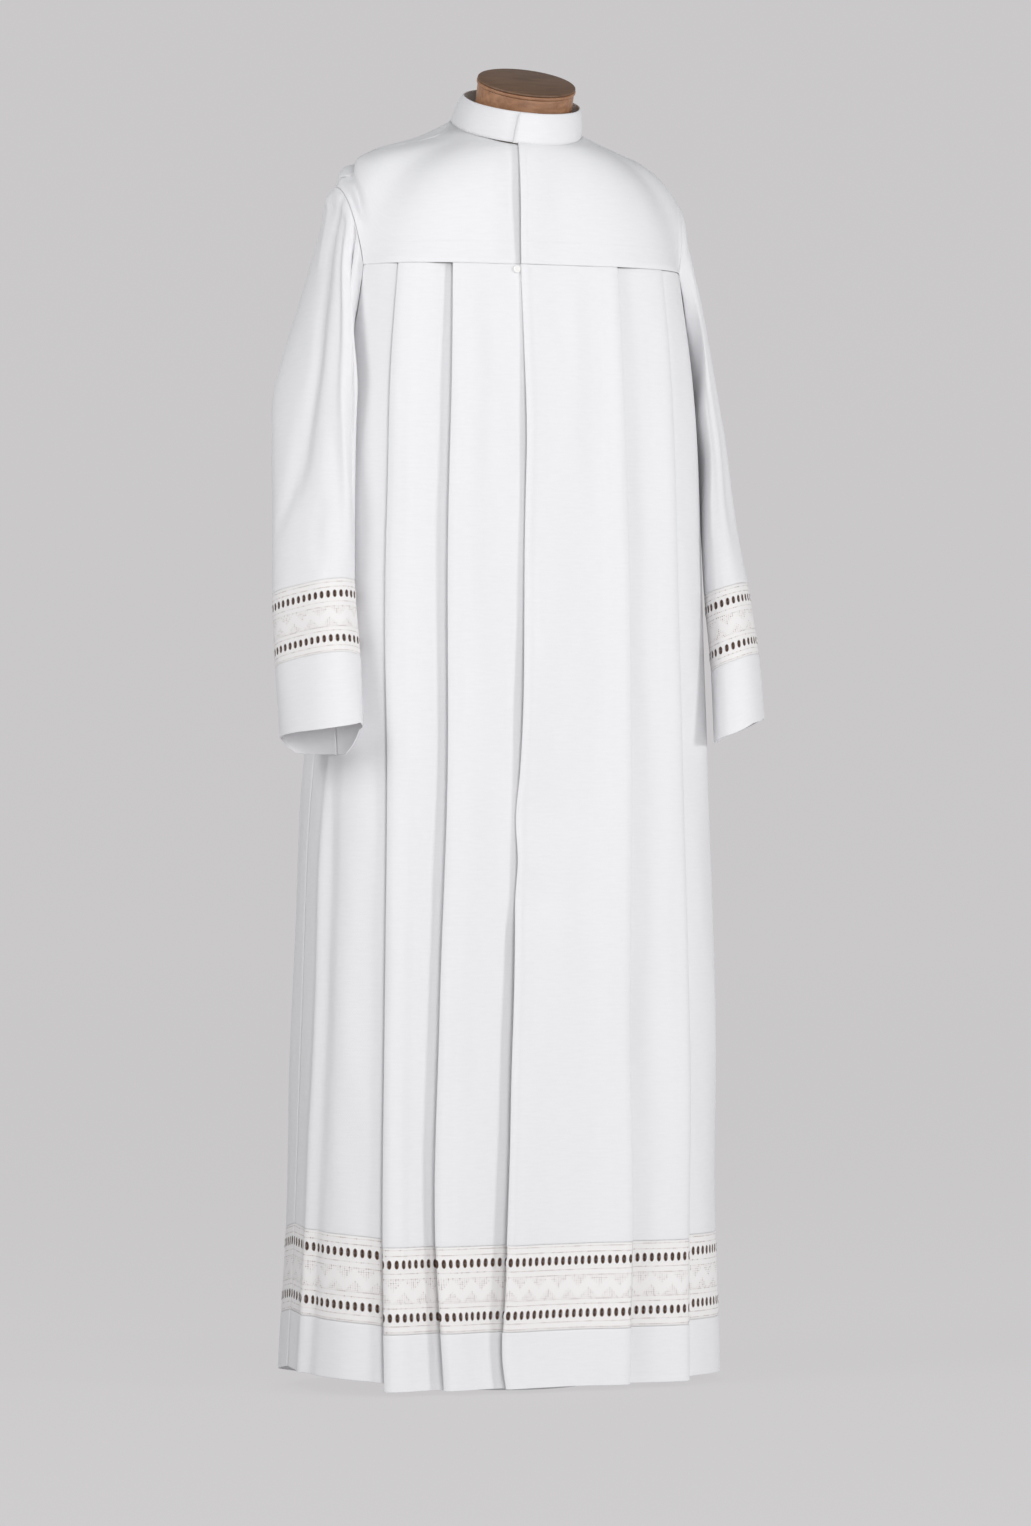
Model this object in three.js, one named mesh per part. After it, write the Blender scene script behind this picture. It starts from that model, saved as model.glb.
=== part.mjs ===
// An alb of white cloth on a limbless dress form with a round base, in millimetres.
// +Z is up, the wearer's front faces -Y and the wearer's left is +X. The floor is z = 0.
import * as THREE from 'three';

// ---- driving sizes -------------------------------------------------------------------------

const wall = 1.5;                 // cloth wall
const seamGap = 0.3;              // between two pieces at a seam
const restGap = 0.4;              // between the yoke and the form's shoulders
const sleeveRest = 1.5;           // from the skirt's middle line to the sleeve's lower edge
const squareness = 3;             // exponent of the body's rounded-square sections

const hemHeight = 5;              // lowest edge of the hem above the floor
const hemDepth = 69;              // plain band below the skirt's lace
const laceDepth = 101;            // skirt's lace band
const yokeSeamHeight = 1308;
const armhole = { halfDepth: 60, rise: 94, drop: 120, topX: 210 };
const pleatWall = { layer: 2.6, layerAtHem: 5, depth: 16, depthAtHem: 20, riseShare: 0.55 };
const overlap = { width: 26, lift: 2.3, liftAtHem: 11, fade: 62, tuckFrom: -62, tuckTo: -34 };
// How the lifted edge settles again, as distances along the cloth and shares of the lift.
const overlapFall = { first: overlap.width + 3, firstShare: 0.8, lastShare: 0.45, clear: 0.5 };
const skirtHeights = [1150, 1082, 940, 838, 734, 580, 430];   // levels between yoke and lace
const sideSteps = 5;              // spans of a plain side panel
const sideFrom = 0.8;             // the sideways share from which an edge belongs to the armhole

// The cloth body's horizontal sections, from the hem to the yoke seam.
const bodySections = [
  { height: 8, halfWidth: 263, front: 126, back: 130, shift: -6 },
  { height: 176, halfWidth: 256.5, front: 127, back: 131, shift: -4 },
  { height: 430, halfWidth: 252, front: 128, back: 132, shift: 0 },
  { height: 734, halfWidth: 238.5, front: 130, back: 133, shift: 2 },
  { height: 838, halfWidth: 229.5, front: 130.5, back: 133, shift: 6.5 },
  { height: 940, halfWidth: 225.5, front: 131, back: 133, shift: 8.5 },
  { height: 1082, halfWidth: 221.5, front: 130.5, back: 131, shift: 7 },
  { height: 1214, halfWidth: 212, front: 129.5, back: 129, shift: 4 },
  { height: 1308, halfWidth: 203.5, front: 128, back: 127, shift: 0 },
];

// Where each pleat's folded edge, and the free front edge, crosses each height, as X.
const frontFolds = [
  { height: 8, outerRight: -188, innerRight: -121, edge: -47, innerLeft: 106, outerLeft: 185 },
  { height: 180, outerRight: -189, innerRight: -131, edge: -47, innerLeft: 110, outerLeft: 186 },
  { height: 434, outerRight: -186, innerRight: -126, edge: -39, innerLeft: 107, outerLeft: 186 },
  { height: 733, outerRight: -182, innerRight: -116, edge: -31, innerLeft: 108, outerLeft: 177 },
  { height: 1010, outerRight: -179, innerRight: -115, edge: -25, innerLeft: 104, outerLeft: 169 },
  { height: 1184, outerRight: -174, innerRight: -110, edge: -25, innerLeft: 98, outerLeft: 164 },
  { height: 1308, outerRight: -166, innerRight: -108, edge: -27, innerLeft: 93, outerLeft: 156 },
];
const backFolds = [
  { height: 8, outerLeft: 186, innerLeft: 112, innerRight: -112, outerRight: -186 },
  { height: 1308, outerLeft: 160, innerLeft: 98, innerRight: -98, outerRight: -160 },
];

// Extra height of the hem and lace where the side panels swing up.
const hemRise = { rightPleat: 11, rightSide: 22, leftPleat: 4, leftSide: 4 };

// The collar's lower and upper rims: tilted ellipses.
const collarBase = { x: 5, y: -24, z: 1475.5, halfWidth: 75, halfDepth: 93, tilt: 17 };
const collarTop = { x: 8.5, y: -35, z: 1508, halfWidth: 67.5, halfDepth: 83, tilt: 16 };
const collar = { wall: 2, spans: 44, bulge: 1.5 };
const collarTab = { underTurn: -6, tabTurn: -26, lift: 2.7, fadeFrom: 36, fadeTo: 6 };

const yokeNeckInset = 1;          // the collar stands this far in from its own outer face
// X of the overlap's two edges, to the wearer's right, and where the under panel lies flat.
const frontEdge = { over: 28, under: 4, before: 6 };
const shoulder = {
  reach: 0.85,
  slope: 0.31,
  cornerTurn: 65,
  ridge: { right: 5, left: 0.3 },   // how far the shoulder line is pinched up, and how widely
  ridgeSpread: 12,
  sagTurn: 100,                     // where the shoulder sags most, and how widely
  sagSpread: { front: 35, back: 55 },
};
// How far each shoulder line sags, by its share of the way out from the neck.
const shoulderSag = [
  { share: 0, right: 0, left: 0 },
  { share: 0.2, right: 4.5, left: 4.6 },
  { share: 0.4, right: 2.2, left: 4.7 },
  { share: 0.6, right: -1.4, left: 1.8 },
  { share: 0.8, right: -1, left: 0 },
  { share: 1, right: 0, left: 0 },
];
const yokeSpans = { rows: 5, fan: 5, armhole: 4, back: 12 };

// Sleeve sections from the armhole down: the centre's distance out from the body's middle,
// its distance forward, its height, the half sizes front to back, outward and inward, the
// lean of the section's plane from level, and its turn towards the front.
const sleeveSections = [
  { out: 217, forward: 0, height: 1268, deep: 64, outer: 98, inner: 98, lean: 90, turn: 3 },
  { out: 224.5, forward: 2, height: 1232, deep: 73, outer: 78, inner: 78, lean: 89, turn: 6 },
  { out: 233, forward: 4, height: 1193, deep: 82, outer: 57, inner: 57, lean: 81, turn: 12 },
  { out: 248.5, forward: 8, height: 1150, deep: 80, outer: 32, inner: 35, lean: 57, turn: 19 },
  { out: 249.5, forward: 18, height: 1096, deep: 67, outer: 27, inner: 20, lean: 29, turn: 25 },
  { out: 254, forward: 33, height: 1030, deep: 57, outer: 31, inner: 22, lean: 12, turn: 32 },
  { out: 258, forward: 41, height: 980, deep: 53, outer: 33, inner: 27, lean: 6, turn: 37 },
  { out: 261.6, forward: 46, height: 933, deep: 50, outer: 34.5, inner: 31, lean: 4, turn: 40 },
];
const cuffEnds = {
  right: { out: 258, forward: 83, height: 760, deep: 54, outer: 37, inner: 34, lean: 18, turn: 36 },
  left: { out: 258, forward: 83, height: 766, deep: 54, outer: 37, inner: 34, lean: 12, turn: 36 },
};
// How the wearer's left sleeve differs from the right one by height: shifts of its out and
// lean, and shares of its outward size and of its inward size and turn.
const leftSleeve = [
  { height: 766, out: -2, lean: 14, outer: 1, flat: 0.6 },
  { height: 845, out: -6, lean: 14, outer: 1, flat: 0.6 },
  { height: 933, out: -14, lean: 14, outer: 0.97, flat: 0.6 },
  { height: 980, out: -15.5, lean: 14, outer: 0.9, flat: 0.6 },
  { height: 1030, out: -14, lean: 12.5, outer: 0.85, flat: 0.62 },
  { height: 1096, out: -6.5, lean: 4, outer: 0.86, flat: 0.6 },
  { height: 1150, out: -11, lean: 0, outer: 0.86, flat: 0.7 },
  { height: 1193, out: -2, lean: 0, outer: 1, flat: 0.85 },
  { height: 1232, out: 0, lean: 0, outer: 1, flat: 1 },
];
const sleeveLaceDepth = 88;
const sleeveShape = { points: 24, power: 0.86 };   // the exponent squares the oval a little
// The front of a section rides up, less so in the left sleeve.
const sleeveSwing = { rise: { right: 0.2, left: 0.05 }, from: 1100, to: 940 };

const form = {
  inset: 6,
  neckRadius: 57,
  blockHeight: 48,
  capRadius: 58.5,
  capHeight: 7,
  capTop: { x: 9, y: -50, z: 1529 },
  lean: 22,
  bottom: 720,
  bottomScale: 0.94,
  restFrom: 0.8,                  // sideways shares between which the torso rises to the yoke
  restTo: 0.93,
  poleRadius: 16,
  baseRadius: 112,
  baseHeight: 12,
  poleY: 12,
};
const formSections = [
  { front: 1366, side: 1408, back: 1366, halfWidth: 187, halfFront: 114, halfBack: 109 },
  { front: 1310, side: 1365, back: 1310, halfWidth: 189, halfFront: 118, halfBack: 118 },
  { front: 1240, side: 1290, back: 1240, halfWidth: 181, halfFront: 117, halfBack: 116 },
  { front: 1150, side: 1170, back: 1150, halfWidth: 169, halfFront: 112, halfBack: 106 },
  { front: 1020, side: 1020, back: 1020, halfWidth: 150, halfFront: 99, halfBack: 93 },
  { front: 900, side: 900, back: 900, halfWidth: 169, halfFront: 106, halfBack: 108 },
  { front: 800, side: 800, back: 800, halfWidth: 181, halfFront: 112, halfBack: 118 },
  { front: 730, side: 730, back: 730, halfWidth: 176, halfFront: 108, halfBack: 114 },
];
const shoulderShares = [0, 0.2, 0.4, 0.6];   // how far down the yoke's strips the torso follows

// The turned edges of the neck's block and cap: smaller by the inset, a distance below the top.
const blockEdge = { inset: 1, below: 6 };
const capProfile = [
  { inset: 4, below: 0 },
  { inset: 1, below: 1 },
  { inset: 0, below: 3 },
  { inset: 0.6, below: form.capHeight },
];
const roundSteps = 48;            // spans of the stand's turned pieces

// ---- small helpers -------------------------------------------------------------------------

const radians = THREE.MathUtils.degToRad;
const lerp = THREE.MathUtils.lerp;
const smooth = THREE.MathUtils.smoothstep;

function steps(count) {
  return Array.from({ length: count + 1 }, (unused, index) => index / count);
}

function signedPower(value, power) {
  return Math.sign(value) * Math.abs(value) ** power;
}

// The named columns of a table at a place between two of its rows.
function tableAt(table, place, column = 'height') {
  const last = table.length - 1;
  let row = 0;
  while (row < last - 1 && place > table[row + 1][column]) {
    row += 1;
  }
  const [low, high] = [table[row], table[row + 1]];
  const share = THREE.MathUtils.clamp((place - low[column]) / (high[column] - low[column]), 0, 1);
  const names = Object.keys(low);
  return Object.fromEntries(names.map((name) => [name, lerp(low[name], high[name], share)]));
}

// A closed wall from two grids of points, [row][column], that face each other.
function wallGeometry(outer, inner, around = false) {
  const rows = outer.length;
  const columns = outer[0].length;
  const positions = [];
  for (const grid of [outer, inner]) {
    for (const row of grid) {
      for (const point of row) {
        positions.push(point.x, point.y, point.z);
      }
    }
  }
  const at = (side, row, column) => (side * rows + row) * columns + (column % columns);
  const triangles = [];
  const quad = (a, b, c, d) => triangles.push(a, b, c, a, c, d);
  const spans = around ? columns : columns - 1;
  for (let column = 0; column < spans; column += 1) {
    for (let row = 0; row < rows - 1; row += 1) {
      quad(at(0, row, column), at(0, row + 1, column), at(0, row + 1, column + 1), at(0, row, column + 1));
      quad(at(1, row, column), at(1, row, column + 1), at(1, row + 1, column + 1), at(1, row + 1, column));
    }
    const end = rows - 1;
    quad(at(0, 0, column), at(0, 0, column + 1), at(1, 0, column + 1), at(1, 0, column));
    quad(at(0, end, column), at(1, end, column), at(1, end, column + 1), at(0, end, column + 1));
  }
  if (!around) {
    const end = columns - 1;
    for (let row = 0; row < rows - 1; row += 1) {
      quad(at(0, row + 1, 0), at(0, row, 0), at(1, row, 0), at(1, row + 1, 0));
      quad(at(0, row, end), at(0, row + 1, end), at(1, row + 1, end), at(1, row, end));
    }
  }
  return outwardGeometry(positions, triangles);
}

// A solid of stacked closed rings with a flat fan at each end.
function stackGeometry(rings) {
  const columns = rings[0].length;
  const positions = rings.flat().flatMap((point) => [point.x, point.y, point.z]);
  const triangles = [];
  for (let row = 0; row < rings.length - 1; row += 1) {
    for (let column = 0; column < columns; column += 1) {
      const next = (column + 1) % columns;
      const [a, b] = [row * columns + column, row * columns + next];
      triangles.push(a, a + columns, b + columns, a, b + columns, b);
    }
  }
  for (const [ring, flip] of [[rings[0], false], [rings.at(-1), true]]) {
    const middle = new THREE.Vector3();
    ring.forEach((point) => middle.addScaledVector(point, 1 / columns));
    const centre = positions.length / 3;
    positions.push(middle.x, middle.y, middle.z);
    const first = flip ? (rings.length - 1) * columns : 0;
    for (let column = 0; column < columns; column += 1) {
      const pair = [first + column, first + ((column + 1) % columns)];
      triangles.push(centre, ...(flip ? pair.reverse() : pair));
    }
  }
  return outwardGeometry(positions, triangles);
}

// Turns the faces round if they enclose a negative volume.
function outwardGeometry(positions, triangles) {
  const point = (index) => new THREE.Vector3().fromArray(positions, index * 3);
  let volume = 0;
  for (let index = 0; index < triangles.length; index += 3) {
    const [a, b, c] = [0, 1, 2].map((corner) => point(triangles[index + corner]));
    volume += a.dot(b.cross(c));
  }
  const geometry = new THREE.BufferGeometry();
  geometry.setAttribute('position', new THREE.Float32BufferAttribute(positions, 3));
  geometry.setIndex(volume < 0 ? triangles.reverse() : triangles);
  return geometry;
}

// Moves every point of a grid along the grid's own normal; toward gives the side meant.
function offsetGrid(grid, distance, toward) {
  const rows = grid.length;
  const columns = grid[0].length;
  return grid.map((line, row) => line.map((point, column) => {
    const up = grid[Math.max(row - 1, 0)][column];
    const down = grid[Math.min(row + 1, rows - 1)][column];
    const before = line[Math.max(column - 1, 0)];
    const after = line[Math.min(column + 1, columns - 1)];
    const normal = down.clone().sub(up).cross(after.clone().sub(before)).normalize();
    if (normal.dot(toward(point)) < 0) {
      normal.negate();
    }
    const amount = typeof distance === 'function' ? distance(row, column) : distance;
    return point.clone().addScaledVector(normal, amount);
  }));
}

// ---- the body's sections and its pleated line -----------------------------------------------

// A point of the section at a height, by its turn: 0 front, 90 the wearer's left, 180 back.
function sectionPoint(turn, height) {
  const section = tableAt(bodySections, height);
  const depth = Math.cos(radians(turn)) >= 0 ? section.front : section.back;
  const u = signedPower(Math.sin(radians(turn)), 2 / squareness);
  const v = signedPower(Math.cos(radians(turn)), 2 / squareness);
  const normal = new THREE.Vector2(
    signedPower(u, squareness - 1) / section.halfWidth,
    -signedPower(v, squareness - 1) / depth,
  ).normalize();
  const position = new THREE.Vector2(section.shift + section.halfWidth * u, -depth * v);
  return { position, normal, turn };
}

// How far the section reaches out at a given Y.
function reachAt(y, height) {
  const section = tableAt(bodySections, height);
  const share = Math.abs(y) / (y < 0 ? section.front : section.back);
  return section.halfWidth * (1 - share ** squareness) ** (1 / squareness);
}

const armholeX = reachAt(-armhole.halfDepth, yokeSeamHeight);

// The turn at which the section passes a given X, at the front or at the back.
function turnAtX(x, height, atBack) {
  const section = tableAt(bodySections, height);
  const share = THREE.MathUtils.clamp((x - section.shift) / section.halfWidth, -1, 1);
  const turn = THREE.MathUtils.radToDeg(Math.asin(signedPower(share, squareness / 2)));
  return atBack ? 180 - turn : turn;
}

// One point of the cloth's middle line: on the section, moved along it and out from it.
function linePoint(turn, height, out, rise = 0) {
  const base = sectionPoint(turn, height);
  const position = base.position.clone().addScaledVector(base.normal, out);
  return { position, rise, turn: base.turn };
}

function slide(x, distance, height, atBack) {
  const normal = sectionPoint(turnAtX(x, height, atBack), height).normal;
  return turnAtX(x + distance * Math.abs(normal.y), height, atBack);
}

// The seven points of one knife pleat: under layer, return layer and folded edge.
// inward is the X direction in which the upper panel runs from its folded edge.
function pleatPoints(x, inward, height, atBack, rise) {
  const down = smooth(yokeSeamHeight - height, 0, yokeSeamHeight);
  const layer = lerp(pleatWall.layer, pleatWall.layerAtHem, down);
  const depth = lerp(pleatWall.depth, pleatWall.depthAtHem, down);
  const round = layer / 2;
  const shape = [
    [depth - round, 0, rise * pleatWall.riseShare],
    [depth, layer / 2, rise * pleatWall.riseShare],
    [depth - round, layer, rise * pleatWall.riseShare],
    [round, layer, 0],
    [0, layer * 1.5, 0],
    [round, layer * 2, 0],
    [depth + 2, layer * 1.9, 0],
  ];
  return shape.map(([along, out, lift]) => (
    linePoint(slide(x, inward * along, height, atBack), height, out, lift)));
}

function sidePoints(fromTurn, toTurn, height, fromRise, toRise, count) {
  return steps(count).map((share) => (
    linePoint(lerp(fromTurn, toTurn, share), height, 0, lerp(fromRise, toRise, share))));
}

function frontRightLine(height) {
  const fold = tableAt(frontFolds, height);
  const outerTurn = slide(fold.outerRight, -4, height, false);
  const middle = (fold.innerRight + fold.outerRight) / 2;
  const layer = pleatWall.layer;
  return [
    ...sidePoints(-90, outerTurn, height, hemRise.rightSide, hemRise.rightPleat, sideSteps),
    ...pleatPoints(fold.outerRight, 1, height, false, hemRise.rightPleat),
    linePoint(turnAtX(middle, height, false), height, layer),
    ...pleatPoints(fold.innerRight, 1, height, false, 0),
    linePoint(turnAtX((fold.innerRight + fold.edge) / 2, height, false), height, layer),
    linePoint(turnAtX(fold.edge - frontEdge.before, height, false), height, 0),
    linePoint(turnAtX(fold.edge + overlap.width, height, false), height, 0),
  ];
}

function frontLeftLine(height) {
  const fold = tableAt(frontFolds, height);
  const down = smooth(yokeSeamHeight - height, 0, yokeSeamHeight);
  const lift = lerp(overlap.lift, overlap.liftAtHem, down);
  const layer = pleatWall.layer;
  const middle = (fold.innerLeft + fold.outerLeft) / 2;
  const outerTurn = slide(fold.outerLeft, 4, height, false);
  const { first, firstShare, lastShare, clear } = overlapFall;
  const edgeFall = [[0, lift], [first, lift * firstShare + clear], [overlap.fade, lift * lastShare + clear]];
  return [
    ...edgeFall.map(([along, out]) => (
      linePoint(turnAtX(fold.edge + along, height, false), height, out))),
    linePoint(turnAtX((fold.edge + overlap.fade + fold.innerLeft) / 2, height, false), height, layer),
    ...pleatPoints(fold.innerLeft, -1, height, false, 0).reverse(),
    linePoint(turnAtX(middle, height, false), height, layer),
    ...pleatPoints(fold.outerLeft, -1, height, false, hemRise.leftPleat).reverse(),
    ...sidePoints(outerTurn, 90, height, hemRise.leftPleat, hemRise.leftSide, sideSteps),
  ];
}

function backLine(height) {
  const fold = tableAt(backFolds, height);
  const layer = pleatWall.layer;
  const leftTurn = slide(fold.outerLeft, 4, height, true);
  const rightTurn = slide(fold.outerRight, -4, height, true);
  const between = (a, b) => linePoint(turnAtX((a + b) / 2, height, true), height, layer);
  return [
    ...sidePoints(90, leftTurn, height, hemRise.leftSide, 0, sideSteps),
    ...pleatPoints(fold.outerLeft, -1, height, true, 0),
    between(fold.outerLeft, fold.innerLeft),
    ...pleatPoints(fold.innerLeft, -1, height, true, 0),
    between(fold.innerLeft, fold.innerRight),
    ...pleatPoints(fold.innerRight, 1, height, true, 0).reverse(),
    between(fold.innerRight, fold.outerRight),
    ...pleatPoints(fold.outerRight, 1, height, true, 0).reverse(),
    ...sidePoints(rightTurn, 270, height, 0, hemRise.rightSide, sideSteps),
  ];
}

// Moves a middle line sideways by half the wall, to the right of its direction of travel.
function offsetLine(line, distance) {
  return line.map((point, index) => {
    const before = line[Math.max(index - 1, 0)].position;
    const after = line[Math.min(index + 1, line.length - 1)].position;
    const direction = (from, to) => to.clone().sub(from).normalize();
    const into = index ? direction(before, point.position) : direction(point.position, after);
    const outOf = index < line.length - 1 ? direction(point.position, after) : into;
    const normal = into.clone().add(outOf).normalize();
    const miter = Math.min(1 / Math.max(normal.dot(into), 0.1), 1.3);
    return new THREE.Vector2(normal.y, -normal.x).multiplyScalar(distance * miter).add(point.position);
  });
}

// The side seams and the seam gap: the end columns are drawn back by half the gap.
function trimmedLine(line, height) {
  const points = line(height);
  for (const [end, next] of [[0, 1], [points.length - 1, points.length - 2]]) {
    const inward = points[next].position.clone().sub(points[end].position).normalize();
    points[end].position.addScaledVector(inward, seamGap / 2);
  }
  return points;
}

// Height of the skirt's top edge above a point: the yoke seam, or the armhole's lower half.
function skirtTop(y, turn) {
  const nearSide = Math.abs(Math.sin(radians(turn))) > sideFrom;
  const share = Math.abs(y) / armhole.halfDepth;
  if (!nearSide || share >= 1) {
    return yokeSeamHeight - seamGap;
  }
  return yokeSeamHeight - seamGap - armhole.drop * Math.sqrt(1 - share * share);
}

// A wall that follows a pleated line down through a list of levels. A level is a function
// of the point, so that a top edge or a lifted hem can change its height along the line.
function skirtWall(line, levels) {
  const sample = trimmedLine(line, yokeSeamHeight);
  const grids = [wall / 2, -wall / 2].map((distance) => levels.map((level) => (
    sample.map((point, column) => {
      const z = level(point);
      const moved = offsetLine(trimmedLine(line, z), distance)[column];
      return new THREE.Vector3(moved.x, moved.y, z);
    }))));
  return wallGeometry(grids[0], grids[1]);
}

const hemTop = hemHeight + hemDepth;
const laceTop = hemTop + laceDepth;
const raised = (height) => (point) => height + point.rise;
const flatLevel = (height) => () => height;
const skirtLevels = [
  (point) => skirtTop(point.position.y, point.turn),
  ...skirtHeights.map(flatLevel),
  raised(laceTop + seamGap),
];
const laceLevels = [raised(laceTop), raised(hemTop + seamGap)];
const hemLevels = [raised(hemTop), raised(hemHeight)];

// ---- collar and yoke -------------------------------------------------------------------------

// A point of a tilted elliptical rim, by its turn round the neck.
function rimPoint(rim, turn, out = 0, above = 0) {
  const across = (rim.halfWidth + out) * Math.sin(radians(turn));
  const deep = -(rim.halfDepth + out) * Math.cos(radians(turn));
  const [sin, cos] = [Math.sin(radians(rim.tilt)), Math.cos(radians(rim.tilt))];
  const y = rim.y + deep * cos - above * sin;
  return new THREE.Vector3(rim.x + across, y, rim.z + deep * sin + above * cos);
}

function collarGeometry() {
  const turns = steps(collar.spans).map((share) => (
    lerp(collarTab.underTurn, collarTab.tabTurn - 360, share)));
  const lift = (turn) => {
    const left = turn + 360;
    return collarTab.lift * smooth(-left, -collarTab.fadeFrom, -collarTab.fadeTo);
  };
  const blend = (share) => Object.fromEntries(
    Object.keys(collarBase).map((name) => [name, lerp(collarBase[name], collarTop[name], share)]));
  const grid = (inset) => [0, 0.5, 1].map((share) => (
    turns.map((turn) => {
      const bulge = collar.bulge * Math.sin(Math.PI * share);
      const above = share === 0 ? seamGap : 0;
      return rimPoint(blend(share), turn, lift(turn) + bulge - inset, above);
    })));
  return wallGeometry(grid(0), grid(collar.wall));
}

// The yoke's outer edge: the straight yoke seam, or the armhole's upper half.
function armholePoint(angle, side) {
  const [cos, sin] = [Math.cos(radians(angle)), Math.sin(radians(angle))];
  const y = -armhole.halfDepth * cos;
  const z = yokeSeamHeight + (sin >= 0 ? armhole.rise : armhole.drop) * sin;
  if (sin >= 0) {
    return new THREE.Vector3(side * lerp(armholeX, armhole.topX, sin), y, z);
  }
  const section = tableAt(bodySections, z);
  return new THREE.Vector3(section.shift + side * reachAt(y, z), y, z);
}

function seamPoint(x, atBack) {
  const { position } = sectionPoint(turnAtX(x, yokeSeamHeight, atBack), yokeSeamHeight);
  return new THREE.Vector3(position.x, position.y, yokeSeamHeight);
}

// One strip of the yoke from the neck to its outer edge: a curve over the shoulder that is
// pulled to its corner along the shoulder line, and sags behind it.
function shoulderPoint(neckTurn, edge, share) {
  const neck = rimPoint(collarBase, neckTurn, -yokeNeckInset);
  const plan = new THREE.Vector2(edge.x - neck.x, edge.y - neck.y);
  const corner = new THREE.Vector3(
    neck.x + plan.x * shoulder.reach,
    neck.y + plan.y * shoulder.reach,
    neck.z - plan.length() * shoulder.reach * shoulder.slope,
  );
  const side = edge.x < 0 ? 'right' : 'left';
  const size = neckTurn > 180 ? 360 - neckTurn : Math.abs(neckTurn);
  const bell = (away, spread) => Math.exp(-((away / spread) ** 2));
  const pull = 1 + shoulder.ridge[side] * bell(size - 90, shoulder.ridgeSpread);
  const spread = shoulder.sagSpread[size < shoulder.sagTurn ? 'front' : 'back'];
  const weights = [(1 - share) ** 2, 2 * share * (1 - share) * pull, share ** 2];
  const point = new THREE.Vector3();
  [neck, corner, edge].forEach((end, index) => point.addScaledVector(end, weights[index]));
  point.divideScalar(weights[0] + weights[1] + weights[2]);
  const wayOut = Math.hypot(point.x - neck.x, point.y - neck.y) / plan.length();
  point.z -= tableAt(shoulderSag, wayOut, 'share')[side] * bell(size - shoulder.sagTurn, spread);
  return point;
}

const formMiddle = new THREE.Vector3(0, 0, 1250);
const awayFromMiddle = (point) => point.clone().sub(formMiddle);

// The turn at the neck where the yoke's strip to a seam point starts. The strips run straight
// down beside the middle of the front, and fan out from there to the armhole.
const straightTurn = THREE.MathUtils.radToDeg(Math.asin(frontEdge.over / collarBase.halfWidth));

function neckTurn(seamX) {
  const size = Math.abs(seamX);
  if (size <= frontEdge.over) {
    return THREE.MathUtils.radToDeg(Math.asin(seamX / collarBase.halfWidth));
  }
  const share = (size - frontEdge.over) / (armholeX - frontEdge.over);
  return Math.sign(seamX) * lerp(straightTurn, shoulder.cornerTurn, share);
}

function seamXAt(turn) {
  const size = Math.abs(turn);
  if (size <= straightTurn) {
    return Math.sin(radians(turn)) * collarBase.halfWidth;
  }
  const share = (size - straightTurn) / (shoulder.cornerTurn - straightTurn);
  return Math.sign(turn) * lerp(frontEdge.over, armholeX, share);
}

// Columns of a yoke piece: pairs of a turn at the neck and a point on the outer edge.
function frontYokeColumns(side, edgeX) {
  const fan = steps(yokeSpans.fan).map((share) => side * lerp(frontEdge.over, armholeX, share));
  const alongSeam = [...edgeX, ...fan].map((x) => ({ turn: neckTurn(x), edge: seamPoint(x, false) }));
  const alongArmhole = steps(yokeSpans.armhole).slice(1).map((share) => ({
    turn: side * lerp(shoulder.cornerTurn, 90, share),
    edge: armholePoint(90 * share, side),
  }));
  const columns = [...alongSeam, ...alongArmhole];
  return side < 0 ? columns.reverse() : columns;
}

function backYokeColumns() {
  const corner = 180 - shoulder.cornerTurn;
  const armSide = (side) => steps(yokeSpans.armhole).slice(0, -1).map((share) => ({
    turn: side * lerp(90, corner, share),
    edge: armholePoint(lerp(90, 180, share), side),
  }));
  const seam = steps(yokeSpans.back).map((share) => ({
    turn: lerp(corner, 360 - corner, share),
    edge: seamPoint(lerp(armholeX, -armholeX, share), true),
  }));
  return [...armSide(1), ...seam, ...armSide(-1).reverse()];
}

function yokeGeometry(columns, lift = () => 0) {
  const surface = steps(yokeSpans.rows).map((share) => (
    columns.map(({ turn, edge }) => shoulderPoint(turn, edge, share))));
  const outer = offsetGrid(surface, (row, column) => lift(columns[column]), awayFromMiddle);
  const inner = offsetGrid(surface, (row, column) => lift(columns[column]) - wall, awayFromMiddle);
  columns.forEach(({ turn }, column) => {
    if (Math.abs(turn) === 90) {
      const next = column ? column - 1 : 1;
      squareShoulderEdge([outer, inner], surface, column, next);
    }
  });
  return wallGeometry(outer, inner);
}

// Stands a piece's edge square to the shoulder seam, half the seam gap away from it.
function squareShoulderEdge([outer, inner], surface, column, next) {
  const line = surface.map((row) => row[column]);
  const along = line.at(-1).clone().sub(line[0]);
  const across = new THREE.Vector3(-along.y, along.x, 0).normalize();
  if (across.dot(surface[2][next].clone().sub(line[2])) < 0) {
    across.negate();
  }
  line.forEach((point, row) => {
    const slope = line[Math.min(row + 1, line.length - 1)].clone().sub(line[Math.max(row - 1, 0)]);
    const normal = slope.cross(across).normalize();
    if (normal.z < 0) {
      normal.negate();
    }
    const edge = point.clone().addScaledVector(across, seamGap / 2);
    outer[row][column] = edge;
    inner[row][column] = edge.clone().addScaledVector(normal, -wall);
  });
}

// ---- sleeves -----------------------------------------------------------------------------------

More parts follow.
